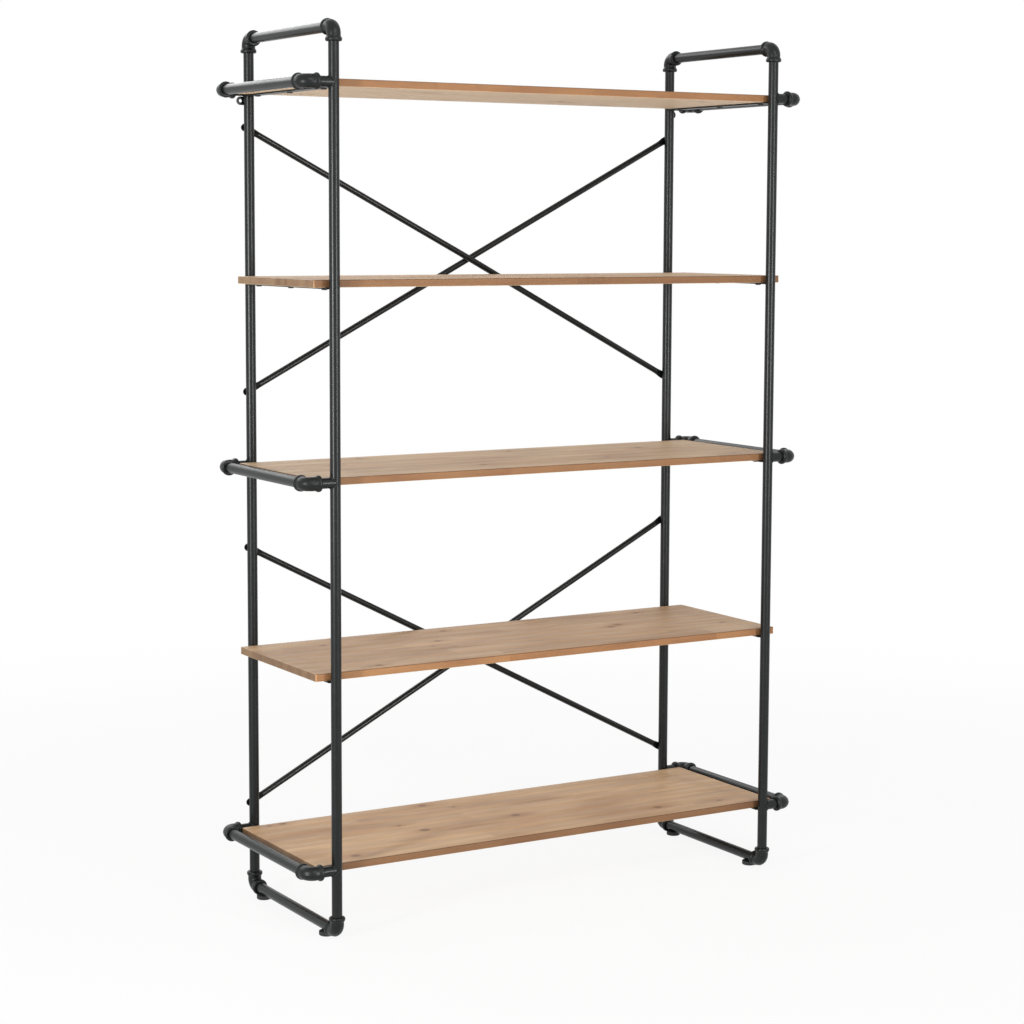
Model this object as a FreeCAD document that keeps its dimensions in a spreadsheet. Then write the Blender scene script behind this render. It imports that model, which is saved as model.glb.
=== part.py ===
import FreeCAD, Part
import Sketcher
import os
import re

# Driving sizes in millimetres. X runs left to right, Y front to back, Z up.
SIZES = {
    # Whole bookcase, over the outermost bead rings and from the floor
    "overall_width": 1200,
    "overall_depth": 420,
    "overall_height": 1800,
    # Steel tube of the posts, rails and stand-offs
    "tube_diameter": 21,
    "tube_wall": 1.5,
    # Elbow fittings: wall over the tube, bead ring at each outlet, bend and socket
    "elbow_wall": 3.5,
    "elbow_throat": 1,
    "elbow_leg": 14,
    "bead_height": 2.5,
    "bead_width": 8,
    "bead_rounding": 2.2,
    "socket_depth": 12,
    "socket_clearance": 0.05,
    "seat_gap": 0.2,
    # Room left for the weld where a tube or plate is coped to a post
    "weld_gap": 0.05,
    # Side rails outboard of the posts, and the foot beads above the floor
    "rail_overhang": 62,
    "bead_floor_gap": 3,
    # Shelves: board, rounding and gaps to the frame
    "shelf_thickness": 15,
    "shelf_corner_radius": 4,
    "shelf_edge_radius": 1.5,
    "shelf_post_gap": 6.5,
    "shelf_rail_gap": 15,
    "lowest_shelf_top": 150,
    "top_loop_height": 114,
    # Flat support bars under the shelf ends, notched round the posts
    "bar_width": 25,
    "bar_thickness": 3,
    "bar_notch_depth": 3,
    # Shelf screws, driven from below
    "screw_diameter": 4.5,
    "screw_length": 14,
    "screw_head_diameter": 12,
    "screw_head_height": 2.5,
    "screw_head_rounding": 2,
    "screw_key_width": 3.5,
    "screw_key_depth": 1.2,
    "screw_hole_clearance": 0.3,
    "screw_pilot_clearance": 0.05,
    "screw_tip_gap": 0.5,
    "screw_from_bar_end": 36,
    # Braces: thin tube, height of the lowest bolts and distance of the middle ones from mid-height
    "brace_diameter": 13,
    "brace_wall": 1.2,
    "brace_lowest_bolt": 197,
    "brace_middle_bolt": 165,
    "brace_crossing_gap": 0.4,
    "brace_bend_radius": 1500,
    # Flattened brace ends, measured from their bolts, and the vent hole beside each
    "tab_width": 16,
    "tab_reach": 13,
    "tab_start": 10,
    "tab_root": 26,
    "vent_diameter": 3,
    "vent_from_root": 14,
    # Brace bolts and the threaded inserts in the posts that they grip
    "bolt_diameter": 6,
    "bolt_hole_clearance": 0.25,
    "bolt_head_diameter": 11,
    "bolt_head_proud": 3.5,
    "bolt_head_rounding": 2.8,
    "bolt_key_width": 4,
    "bolt_key_depth": 2,
    "bolt_length": 16,
    "insert_diameter": 9,
    "insert_length": 12,
    "insert_clearance": 0.05,
    "thread_clearance": 0.05,
    # Wall ears at the back of the rear posts
    "ear_radius": 8.7,
    "ear_reach": 14.8,
    "ear_thickness": 2,
    "ear_hole_diameter": 6.5,
    "ear_below_top_shelf": 27,
    # Levelling feet and the threaded sleeves in the foot rails
    "foot_diameter": 31,
    "foot_inset": 46.5,
    "foot_rail_gap": 0.3,
    "foot_edge_radius": 2.5,
    "foot_top_radius": 0.8,
    "stud_diameter": 6,
    "stud_length": 15,
    "stud_hole_clearance": 0.3,
    "sleeve_diameter": 11,
    "sleeve_clearance": 0.05,
    # How far cuts run past the material
    "overrun": 2,
}

# Places and sizes that follow from the driving sizes
PLACES = {
    "tube_radius": "tube_diameter / 2",
    "bore_radius": "tube_radius - tube_wall",
    "socket_radius": "tube_radius + socket_clearance",
    "elbow_radius": "tube_radius + elbow_wall",
    "bead_radius": "elbow_radius + bead_height",
    "bend_radius": "elbow_radius + elbow_throat",
    "outlet": "bend_radius + elbow_leg",
    "shoulder": "outlet - socket_depth",
    "tube_end": "shoulder + seat_gap",
    "bead_start": "outlet - bead_width",
    "side_rail_across": "overall_width / 2 - bead_radius",
    "post_across": "side_rail_across - rail_overhang",
    "post_back": "overall_depth / 2 - bead_radius",
    "top_rail_up": "overall_height - bead_radius",
    "foot_rail_up": "bead_floor_gap + bead_radius",
    "cope_radius": "tube_radius + weld_gap",
    "shelf_half_length": "side_rail_across - tube_radius - shelf_rail_gap",
    "shelf_half_depth": "post_back - tube_radius - shelf_post_gap",
    "shelf_pitch": "(overall_height - top_loop_height - lowest_shelf_top) / 4",
    "bar_half_width": "bar_width / 2",
    "bar_half_length": "post_back - tube_radius + bar_notch_depth",
    "screw_outer_place": "bar_half_length - screw_from_bar_end",
    "screw_hole": "screw_diameter + 2 * screw_hole_clearance",
    "screw_pilot": "screw_diameter + 2 * screw_pilot_clearance",
    "screw_pilot_depth": "screw_length - bar_thickness + screw_tip_gap",
    "brace_span_height": "overall_height / 2 - brace_lowest_bolt",
    "brace_crossing_place": "(brace_span_height + brace_middle_bolt) / 2",
    "brace_half_rise": "(brace_span_height - brace_middle_bolt) / 2",
    "brace_tilt": "atan(brace_half_rise / post_across)",
    "brace_set_back": "bead_radius - brace_diameter / 2",
    "brace_back": "post_back + brace_set_back",
    "brace_bore": "brace_diameter - 2 * brace_wall",
    "brace_half_length": "sqrt(post_across ^ 2 + brace_half_rise ^ 2) - tab_root",
    "brace_end_across": "post_across - tab_root * cos(brace_tilt)",
    "brace_end_rise": "brace_half_rise - tab_root * sin(brace_tilt)",
    "brace_bow": "brace_diameter + brace_crossing_gap",
    "brace_bend_back": "brace_bow - brace_bend_radius",
    "brace_reach": "sqrt(brace_half_length ^ 2 + brace_bend_back ^ 2)",
    "brace_swing": "atan(brace_half_length / -brace_bend_back) - acos(brace_bend_radius / brace_reach)",
    "brace_run": "sqrt(brace_reach ^ 2 - brace_bend_radius ^ 2)",
    "tab_thickness": "2 * brace_wall",
    "tab_middle": "cope_radius + brace_wall",
    "tab_back": "cope_radius + tab_thickness",
    "tab_half_width": "tab_width / 2",
    "tab_round_place": "tab_reach - tab_half_width",
    "vent_place": "tab_root + vent_from_root",
    "bolt_top": "tab_back + bolt_head_proud",
    "bolt_hole": "bolt_diameter + 2 * bolt_hole_clearance",
    "insert_hole": "insert_diameter + 2 * insert_clearance",
    "insert_bore": "bolt_diameter + 2 * thread_clearance",
    "ear_up": "overall_height - top_loop_height - ear_below_top_shelf",
    "foot_back": "post_back - foot_inset",
    "foot_height": "foot_rail_up - tube_radius - foot_rail_gap",
    "stud_hole": "stud_diameter + 2 * stud_hole_clearance",
    "sleeve_bore": "stud_diameter + 2 * thread_clearance",
    "sleeve_fit_radius": "bore_radius - sleeve_clearance",
}

SHELVES = ("bottom", "lower", "middle", "upper", "top")
BRACKET_LEVELS = {"lower": 0, "middle": 2, "upper": 4}
SIDES = {"left": "-", "right": ""}
ENDS = {"front": "-", "rear": ""}
HEIGHTS = {"foot": "foot_rail_up", "top": "top_rail_up"}
CROSSINGS = {
    "lower": "overall_height / 2 - brace_crossing_place",
    "upper": "overall_height / 2 + brace_crossing_place",
}
RISES = {"falling": -1, "rising": 1}
KEY_SIDES = 6
TOLERANCE = 1e-6

Vector = FreeCAD.Vector
RIGHT, BACK, UP = Vector(1, 0, 0), Vector(0, 1, 0), Vector(0, 0, 1)
SIGN = {"-": -1, "": 1}
ALONG_Y = FreeCAD.Rotation(RIGHT, -UP, BACK, "XYZ")

doc = FreeCAD.newDocument("Bookcase")
pieces = []


def make_sheet(name, rows):
    """Fill a spreadsheet with a name, a value and an alias for each row."""
    sheet = doc.addObject("Spreadsheet::Sheet", name)
    for row, (alias, value) in enumerate(rows, start=1):
        sheet.set(f"A{row}", alias)
        sheet.set(f"B{row}", value)
        sheet.setAlias(f"B{row}", alias)
    doc.recompute()
    return sheet


def spell(text, own="Places."):
    """Write the size names of an expression with the sheets that hold them."""
    def cell(match):
        name = match.group()
        if name in SIZES:
            return "Sizes." + name
        return own + name if name in PLACES else name
    return re.sub(r"[a-z_]+", cell, text)


sizes_sheet = make_sheet("Sizes", [(alias, str(value)) for alias, value in SIZES.items()])
places_sheet = make_sheet("Places", [(alias, "=" + spell(rule, "")) for alias, rule in PLACES.items()])


def size(name):
    """Read one named size or place as a number."""
    value = (sizes_sheet if name in SIZES else places_sheet).get(name)
    return float(getattr(value, "Value", value))


def number(name):
    """Read a size name that may carry a minus sign."""
    if name == "0":
        return 0
    return -size(name[1:]) if name.startswith("-") else size(name)


def bind(item, prop, text):
    """Tie a property to an expression of size names."""
    item.setExpression(prop, spell(text))


def place(item, across, back, up, turn=FreeCAD.Rotation()):
    """Turn a piece and tie its origin to three expressions."""
    item.Placement = FreeCAD.Placement(Vector(), turn)
    for axis, text in zip("xyz", (across, back, up)):
        bind(item, ".Placement.Base." + axis, text)
    return item


def turn_to(first, third):
    """Rotation that carries local X to one direction and local Z to another, square to it."""
    return FreeCAD.Rotation(first, third.cross(first), third, "XYZ")


def make_body(name):
    """Start a body for one piece."""
    return doc.addObject("PartDesign::Body", name)


def origin_plane(body, role):
    """Find one of the body's origin planes."""
    return [item for item in body.Origin.OriginFeatures if item.Role == role][0]


def make_sketch(body, plane, height=None):
    """Attach a sketch to one of the body's origin planes, raised where asked."""
    sketch = body.newObject("Sketcher::SketchObject", body.Name + "_sketch")
    sketch.AttachmentSupport = (origin_plane(body, plane), [""])
    sketch.MapMode = "FlatFace"
    if height:
        bind(sketch, "AttachmentOffset.Base.z", height)
    return sketch


def limit(sketch, text, kind, *where):
    """Add a dimension whose value is an expression of size names."""
    index = sketch.addConstraint(Sketcher.Constraint(kind, *where, 1.0))
    bind(sketch, f"Constraints[{index}]", text)


def hold(sketch, geometry, point, across, up):
    """Fix a point of a sketch at two bound distances from the origin."""
    for kind, line, text in (("DistanceX", -2, across), ("DistanceY", -1, up)):
        if text == "0":
            sketch.addConstraint(Sketcher.Constraint("PointOnObject", geometry, point, line))
        else:
            limit(sketch, text, kind, -1, 1, geometry, point)


def draw_circle(sketch, name, across="0", up="0"):
    """Draw a circle of a bound radius or diameter about a bound centre."""
    kind = "Radius" if name.endswith("radius") else "Diameter"
    index = sketch.addGeometry(Part.Circle(Vector(number(across), number(up), 0), UP, number(name)))
    hold(sketch, index, 3, across, up)
    limit(sketch, name, kind, index)


def draw_outline(sketch, corners):
    """Draw a closed outline of straight edges through bound corners."""
    points = [Vector(number(across), number(up), 0) for across, up in corners]
    count = len(points)
    lines = [sketch.addGeometry(Part.LineSegment(points[i], points[(i + 1) % count])) for i in range(count)]
    for i, line in enumerate(lines):
        sketch.addConstraint(Sketcher.Constraint("Coincident", lines[i - 1], 2, line, 1))
    for line, (across, up) in zip(lines, corners):
        hold(sketch, line, 1, across, up)


def draw_rectangle(sketch, half_across, half_up):
    """Draw a rectangle about the sketch's origin from its half sizes."""
    corners = [("-", "-"), ("", "-"), ("", ""), ("-", "")]
    draw_outline(sketch, [(across + half_across, up + half_up) for across, up in corners])


def draw_axis(sketch, start, end):
    """Draw a construction line for a revolution between two bound points."""
    ends = [Vector(number(across), number(up), 0) for across, up in (start, end)]
    line = sketch.addGeometry(Part.LineSegment(*ends), True)
    hold(sketch, line, 1, *start)
    hold(sketch, line, 2, *end)


def extrude(body, kind, sketch, length, reverse=False, middle=False):
    """Pad or pocket a sketch by a bound length, to one side or to both."""
    feature = body.newObject("PartDesign::" + kind, f"{body.Name}_{kind.lower()}")
    feature.Profile = sketch
    feature.Reversed = reverse
    feature.SideType = "Symmetric" if middle else "One side"
    bind(feature, "Length", length)


def revolve(body, sketch, axis, angle="360", middle=False):
    """Revolve a sketch about one of its axes by a bound angle."""
    feature = body.newObject("PartDesign::Revolution", body.Name + "_revolution")
    feature.Profile = sketch
    feature.ReferenceAxis = (sketch, [axis])
    feature.Midplane = middle
    bind(feature, "Angle", angle)


def near(first, second):
    """Tell whether two lengths agree."""
    return abs(first - second) < TOLERANCE


def is_ring(edge, name):
    """Tell whether an edge is a circle of the named radius."""
    return edge.Curve.TypeId == "Part::GeomCircle" and near(edge.Curve.Radius, size(name))


def spans(edge, axis):
    """Length of an edge's box along one axis."""
    return getattr(edge.BoundBox, axis + "Length")


def round_edges(body, radius, chosen):
    """Round the edges of a body's last feature that a test picks."""
    doc.recompute()
    base = body.Tip
    names = [f"Edge{i}" for i, edge in enumerate(base.Shape.Edges, start=1) if chosen(edge)]
    fillet = body.newObject("PartDesign::Fillet", body.Name + "_fillet")
    fillet.Base = (base, names)
    bind(fillet, "Radius", radius)


def make_cylinder(name, radius, height):
    """Make a plain cylinder with bound sizes, used to cut or to bound pieces."""
    item = doc.addObject("Part::Cylinder", name)
    bind(item, "Radius", radius)
    bind(item, "Height", height)
    return item


def copy_of(item):
    """Make one more copy of a piece, to be placed by itself."""
    link = doc.addObject("App::Link", item.Name + "_copy")
    link.LinkedObject = item
    return link


def copies(item, count):
    """List a piece with enough copies of it to make up a count."""
    return [item] + [copy_of(item) for _ in range(count - 1)]


def group(name, items):
    """Join placed items into one compound that keeps them separate."""
    item = doc.addObject("Part::Compound", name)
    item.Links = items
    return item


def combine(kind, name, base, tool):
    """Cut, fuse or intersect two items."""
    item = doc.addObject("Part::" + kind, name)
    item.Base, item.Tool = base, tool
    return item


def keep(item, label, solids=1):
    """Label a finished piece and note how many solids it holds."""
    item.Label = label
    pieces.append((item, solids))


def shelf_under(level):
    """Height of the underside of a shelf, counted from the lowest one."""
    return f"lowest_shelf_top + {level} * shelf_pitch - shelf_thickness"


def bracket_up(level):
    """Height of the side rails at a shelf's mid-plane."""
    return shelf_under(level) + " + shelf_thickness / 2"


def corner_signs():
    """Yield the name and the two signs of each corner of the bookcase."""
    for end, back in ENDS.items():
        for side, across in SIDES.items():
            yield f"{end}_{side}", across, back


# Solid cylinders round the posts, which cope everything that is welded to them
def make_post_clearance():
    """Make the four cylinders that clear the posts by the weld gap, seams facing front and back."""
    cylinders = []
    for corner, across, back in corner_signs():
        item = make_cylinder(corner + "_clearance", "cope_radius", "overall_height")
        seam_turn = turn_to(BACK * SIGN[back], UP)
        cylinders.append(place(item, across + "post_across", back + "post_back", "0", seam_turn))
    return group("post_clearance", cylinders)


def make_tube(name, length, middle=False):
    """Make a length of the frame's round tube along local Z."""
    body = make_body(name)
    section = make_sketch(body, "XY_Plane")
    draw_circle(section, "tube_diameter")
    draw_circle(section, "bore_radius")
    extrude(body, "Pad", section, length, middle=middle)
    return body


# Braces and what holds their ends
def brace_directions(rise):
    """Chord and bow directions of a brace that rises or falls to the right."""
    turn = FreeCAD.Rotation(BACK, -rise * size("brace_tilt"))
    return turn.multVec(RIGHT), -BACK


def brace_ends(crossing, rise):
    """Yield side, sign, start of the height's sum and outward direction of both ends of a brace."""
    chord, bow = brace_directions(rise)
    for side, across in SIDES.items():
        step = "+" if rise * SIGN[across] > 0 else "-"
        yield side, across, f"{crossing} {step} ", chord * SIGN[across]


def place_at_bolts(items, ends, flat=False):
    """Set pieces on the post's axis with local Z to the back or, lying flat, outward along the brace."""
    for item, (side, across, up, outward) in zip(items, ends):
        turn = turn_to(BACK.cross(outward), outward) if flat else ALONG_Y
        place(item, across + "post_across", "post_back", up + "brace_half_rise", turn)
    return items


def make_brace_tube(name, plane, across="0"):
    """Start a piece of a brace with the tube's section in one of the origin planes."""
    body = make_body(name)
    section = make_sketch(body, plane)
    draw_circle(section, "brace_diameter", across)
    draw_circle(section, "brace_bore", across)
    return body, section


def make_straight_tube(label, crossing, rise):
    """Make the tube of the brace that passes behind."""
    tube, section = make_brace_tube(label + "_tube", "XY_Plane")
    extrude(tube, "Pad", section, "2 * brace_half_length", middle=True)
    return place(tube, "0", "brace_back", crossing, FreeCAD.Rotation(UP, brace_directions(rise)[0]))


def make_bent_tube(label, crossing, rise):
    """Make the tube of the brace that passes in front: a slight bend and two straight runs."""
    bend, section = make_brace_tube(label + "_bend", "YZ_Plane", "brace_bow")
    draw_axis(section, ("brace_bend_back", "0"), ("brace_bend_back", "brace_diameter"))
    revolve(bend, section, "Axis0", "2 * brace_swing", middle=True)
    chord, bow = brace_directions(rise)
    place(bend, "0", "brace_back", crossing, FreeCAD.Rotation(chord, bow, chord.cross(bow), "XYZ"))
    runs = []
    for side, across, up, outward in brace_ends(crossing, rise):
        run, section = make_brace_tube(f"{label}_{side}_run", "XY_Plane")
        extrude(run, "Pad", section, "brace_run", reverse=True)
        swing = FreeCAD.Rotation(chord.cross(bow), -SIGN[across] * size("brace_swing"))
        turn = FreeCAD.Rotation(UP, swing.multVec(outward))
        runs.append(place(run, across + "brace_end_across", "brace_back", up + "brace_end_rise", turn))
    return combine("Fuse", label + "_tube", bend, group(label + "_runs", runs))


def make_brace_tab(label, swing):
    """Make a flattened end: a drilled tab and the shoulder where the tube is pressed flat."""
    tab = make_body(label + "_flat")
    disc = make_sketch(tab, "XZ_Plane", "-tab_middle")
    draw_circle(disc, "tab_width", "0", "tab_round_place")
    extrude(tab, "Pad", disc, "tab_thickness", middle=True)
    flat = make_sketch(tab, "XZ_Plane", "-tab_middle")
    draw_outline(flat, [("-tab_half_width", "-tab_start"), ("tab_half_width", "-tab_start"),
                        ("tab_half_width", "tab_round_place"), ("-tab_half_width", "tab_round_place")])
    extrude(tab, "Pad", flat, "tab_thickness", middle=True)
    hole = make_sketch(tab, "XZ_Plane", "-tab_middle")
    draw_circle(hole, "bolt_hole")
    extrude(tab, "Pocket", hole, "tab_thickness + overrun", middle=True)
    ring = doc.addObject("Part::Circle", label + "_ring")
    bind(ring, "Radius", "brace_diameter / 2")
    place(ring, "0", "brace_set_back", "-tab_root", FreeCAD.Rotation(RIGHT, -swing))
    oval = doc.addObject("Part::Ellipse", label + "_oval")
    bind(oval, "MajorRadius", "tab_half_width")
    bind(oval, "MinorRadius", "brace_wall")
    place(oval, "0", "tab_middle", "-tab_start")
    shoulder = doc.addObject("Part::Loft", label + "_shoulder")
    shoulder.Sections = [ring, oval]
    shoulder.Solid = True
    return combine("Fuse", label + "_tab", tab, shoulder)


def make_brace_vent():
    """Make the drill that vents the tube through its back wall."""
    vent = make_body("brace_vent")
    circle = make_sketch(vent, "XZ_Plane", "-brace_set_back")
    draw_circle(circle, "vent_diameter", "0", "-vent_place")
    extrude(vent, "Pad", circle, "brace_diameter", reverse=True)
    return vent


def make_braces(braces, ends):
    """Make the braces: at each crossing one passes straight behind the other."""
    vents = place_at_bolts(copies(make_brace_vent(), len(ends)), ends, flat=True)
    for index, (label, crossing, rise) in enumerate(braces):
        pair = slice(index * len(SIDES), (index + 1) * len(SIDES))
        straight = rise > 0
        tube = (make_straight_tube if straight else make_bent_tube)(label, crossing, rise)
        tab = make_brace_tab(label, 0 if straight else size("brace_swing"))
        tabs = place_at_bolts(copies(tab, len(SIDES)), ends[pair], flat=True)
        closed = combine("Fuse", label + "_closed", tube, group(label + "_tabs", tabs))
        keep(combine("Cut", label, closed, group(label + "_vents", vents[pair])), label)


def make_key(name, width, depth, top):
    """Make the hexagonal prism that sinks a key socket into a head."""
    prism = doc.addObject("Part::Prism", name)
    prism.Polygon = KEY_SIDES
    bind(prism, "Circumradius", f"{width} / (2 * cos(180 / {KEY_SIDES}))")
    bind(prism, "Height", f"{depth} + overrun")
    return place(prism, "0", "0", f"{top} - {depth}")


def make_brace_bolts(ends):
    """Make the bolts, with domed heads behind the tabs and shanks into the posts."""
    dome = make_body("bolt_dome")
    section = make_sketch(dome, "XY_Plane", "tab_back")
    draw_circle(section, "bolt_head_diameter")
    extrude(dome, "Pad", section, "bolt_head_proud")
    round_edges(dome, "bolt_head_rounding", lambda edge: near(edge.BoundBox.ZMin, size("bolt_top")))
    section = make_sketch(dome, "XY_Plane", "tab_back")
    draw_circle(section, "bolt_diameter")
    extrude(dome, "Pad", section, "bolt_length", reverse=True)
    key = make_key("bolt_key", "bolt_key_width", "bolt_key_depth", "bolt_top")
    bolts = place_at_bolts(copies(combine("Cut", "bolt", dome, key), len(ends)), ends)
    keep(group("bolts", bolts), "brace_bolts", len(ends))


def make_brace_inserts(ends):
    """Make the threaded inserts in the back walls of the rear posts."""
    body = make_body("brace_insert")
    section = make_sketch(body, "XY_Plane", "tube_radius")
    draw_circle(section, "insert_diameter")
    draw_circle(section, "insert_bore")
    extrude(body, "Pad", section, "insert_length", reverse=True)
    inserts = place_at_bolts(copies(body, len(ends)), ends)
    keep(group("inserts", inserts), "brace_inserts", len(ends))


# Posts and rails
def make_insert_bores(ends):
    """Make the bores for the inserts through the back walls, one group for each rear post."""
    body = make_body("insert_bore")
    section = make_sketch(body, "XY_Plane")
    draw_circle(section, "insert_hole")
    extrude(body, "Pad", section, "tube_radius + overrun")
    bores = place_at_bolts(copies(body, len(ends)), ends)
    return {side: group(side + "_bores", [bore for bore, end in zip(bores, ends) if end[0] == side])
            for side in SIDES}


def make_posts(bores):
    """Make the posts, the rear ones drilled for the inserts."""
    for corner, across, back in corner_signs():
        post = make_tube(corner + "_tube", "top_rail_up - foot_rail_up - 2 * tube_end")
        place(post, across + "post_across", back + "post_back", "foot_rail_up + tube_end")
        end, side = corner.split("_")
        if end == "rear":
            post = combine("Cut", corner + "_drilled", post, bores[side])
        keep(post, corner + "_post")


def make_rails():
    """Make the top and foot rails and the side rails, all along Y."""
    for side, across in SIDES.items():
        for height, up in HEIGHTS.items():
            rail = make_tube(f"{side}_{height}_tube", "2 * (post_back - tube_end)", middle=True)
            place(rail, across + "post_across", "0", up, ALONG_Y)
            if height == "foot":
                holes = make_sketch(rail, "XZ_Plane")
                for back in ENDS.values():
                    draw_circle(holes, "stud_hole", "0", back + "foot_back")
                extrude(rail, "Pocket", holes, "tube_radius + overrun")
            keep(rail, f"{side}_{height}_rail")
        for name, level in BRACKET_LEVELS.items():
            rail = make_tube(f"{side}_{name}_tube", "2 * (post_back - tube_end)", middle=True)
            place(rail, across + "side_rail_across", "0", bracket_up(level), ALONG_Y)
            keep(rail, f"{side}_{name}_side_rail")


def make_standoffs():
    """Make the short tubes between the posts and the side elbows."""
    for name, level in BRACKET_LEVELS.items():
        tubes = []
        for corner, across, back in corner_signs():
            tube = make_tube(f"{corner}_{name}_standoff", "rail_overhang - tube_end")
            turn = turn_to(UP, RIGHT * SIGN[across])
            tubes.append(place(tube, across + "post_across", back + "post_back", bracket_up(level), turn))
        row = group(name + "_standoff_tubes", tubes)
        keep(combine("Cut", name + "_coped", row, post_clearance), name + "_standoffs", len(tubes))


# Elbow fittings
def make_elbow(label, across, back, up, first, third):
    """Make an elbow at a corner of the tube axes, with outlets along two directions."""
    body = make_body(label)
    leg = [
        ("bend_radius", "bore_radius"),
        ("shoulder", "bore_radius"),
        ("shoulder", "socket_radius"),
        ("outlet", "socket_radius"),
        ("outlet", "bead_radius"),
        ("bead_start", "bead_radius"),
        ("bead_start", "elbow_radius"),
        ("bend_radius", "elbow_radius"),
    ]
    profile = make_sketch(body, "XZ_Plane")
    draw_outline(profile, leg)
    revolve(body, profile, "H_Axis")
    bend = make_sketch(body, "YZ_Plane", "bend_radius")
    draw_circle(bend, "elbow_radius")
    draw_circle(bend, "bore_radius")
    draw_axis(bend, ("0", "bend_radius"), ("bend_radius", "bend_radius"))
    revolve(body, bend, "Axis0", "90")
    profile = make_sketch(body, "XZ_Plane")
    draw_outline(profile, [(up, along) for along, up in leg])
    revolve(body, profile, "V_Axis")
    round_edges(body, "bead_rounding", lambda edge: is_ring(edge, "bead_radius"))
    keep(place(body, across, back, up, turn_to(first, third)), label)


def make_elbows():
    """Make the corner elbows and the elbows at the ends of the side rails."""
    for corner, across, back in corner_signs():
        inward = BACK * -SIGN[back]
        for height, up in HEIGHTS.items():
            along_post = UP if height == "foot" else -UP
            make_elbow(f"{corner}_{height}_elbow", across + "post_across", back + "post_back", up,
                       inward, along_post)
        for name, level in BRACKET_LEVELS.items():
            make_elbow(f"{corner}_{name}_side_elbow", across + "side_rail_across", back + "post_back",
                       bracket_up(level), inward, RIGHT * -SIGN[across])


# Shelves, their support bars and screws
def screw_places(centre="post_across"):
    """Yield the two coordinates of each screw of one shelf."""
    for across in SIDES.values():
        for along in ("-screw_outer_place", "0", "screw_outer_place"):
            yield across + centre, along


def make_shelf(label, level):
    """Make a board with rounded edges and blind pilot holes underneath."""
    body = make_body(label)
    board = make_sketch(body, "XY_Plane")
    draw_rectangle(board, "shelf_half_length", "shelf_half_depth")
    extrude(body, "Pad", board, "shelf_thickness")
    round_edges(body, "shelf_corner_radius", lambda edge: near(spans(edge, "Z"), size("shelf_thickness")))
    round_edges(body, "shelf_edge_radius", lambda edge: near(spans(edge, "Z"), 0))
    holes = make_sketch(body, "XY_Plane")
    for across, along in screw_places():
        draw_circle(holes, "screw_pilot", across, along)
    extrude(body, "Pocket", holes, "screw_pilot_depth", reverse=True)
    keep(place(body, "0", "0", shelf_under(level)), label)


def make_bars(label, level):
    """Make the two flat bars under one shelf, notched round the posts."""
    bar = make_body(label + "_bar")
    outline = make_sketch(bar, "XY_Plane")
    draw_rectangle(outline, "bar_half_width", "bar_half_length")
    for along in ("-screw_outer_place", "0", "screw_outer_place"):
        draw_circle(outline, "screw_hole", "0", along)
    extrude(bar, "Pad", outline, "bar_thickness", reverse=True)
    bars = copies(bar, len(SIDES))
    for item, across in zip(bars, SIDES.values()):
        place(item, across + "post_across", "0", shelf_under(level))
    keep(combine("Cut", label + "_notched", group(label + "_pair", bars), post_clearance), label, len(bars))


def make_shelf_screws():
    """Make all shelf screws: a domed head under the bar and a shank up into the shelf."""
    dome = make_body("screw_dome")
    section = make_sketch(dome, "XY_Plane")
    draw_circle(section, "screw_head_diameter")
    extrude(dome, "Pad", section, "screw_head_height")
    round_edges(dome, "screw_head_rounding", lambda edge: near(edge.BoundBox.ZMin, size("screw_head_height")))
    section = make_sketch(dome, "XY_Plane")
    draw_circle(section, "screw_diameter")
    extrude(dome, "Pad", section, "screw_length", reverse=True)
    key = make_key("screw_key", "screw_key_width", "screw_key_depth", "screw_head_height")
    places = [(across, along, level) for level in range(len(SHELVES)) for across, along in screw_places()]
    screws = copies(combine("Cut", "screw", dome, key), len(places))
    for item, (across, along, level) in zip(screws, places):
        place(item, across, along, shelf_under(level) + " - bar_thickness", turn_to(RIGHT, -UP))
    keep(group("screws", screws), "shelf_screws", len(places))


# Wall ears, levelling feet and their sleeves
def make_wall_ears():
    """Make the two ring ears, flush with the back of the rear posts."""
    ear = make_body("wall_ear")
    ring = make_sketch(ear, "XZ_Plane")
    draw_circle(ring, "ear_radius", "ear_reach")
    extrude(ear, "Pad", ring, "ear_thickness")
    neck = make_sketch(ear, "XZ_Plane")
    draw_outline(neck, [("0", "-ear_radius"), ("ear_reach", "-ear_radius"),
                        ("ear_reach", "ear_radius"), ("0", "ear_radius")])
    extrude(ear, "Pad", neck, "ear_thickness")
    hole = make_sketch(ear, "XZ_Plane")
    draw_circle(hole, "ear_hole_diameter", "ear_reach")
    extrude(ear, "Pocket", hole, "ear_thickness + overrun", reverse=True)
    ears = copies(ear, len(SIDES))
    for item, across in zip(ears, SIDES.values()):
        turn = turn_to(RIGHT * SIGN[across], UP * SIGN[across])
        place(item, across + "post_across", "post_back + tube_radius", "ear_up", turn)
    keep(combine("Cut", "welded_ears", group("ear_pair", ears), post_clearance), "wall_ears", len(ears))


def make_foot(label, across, back):
    """Make a levelling foot: a round puck with a threaded stud on top."""
    foot = make_body(label)
    puck = make_sketch(foot, "XY_Plane")
    draw_circle(puck, "foot_diameter")
    extrude(foot, "Pad", puck, "foot_height")
    round_edges(foot, "foot_edge_radius", lambda edge: near(edge.BoundBox.ZMax, 0))
    round_edges(foot, "foot_top_radius", lambda edge: near(edge.BoundBox.ZMin, size("foot_height")))
    stud = make_sketch(foot, "XY_Plane", "foot_height")
    draw_circle(stud, "stud_diameter")
    extrude(foot, "Pad", stud, "stud_length")
    keep(place(foot, across + "post_across", back + "foot_back", "0"), label)


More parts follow.
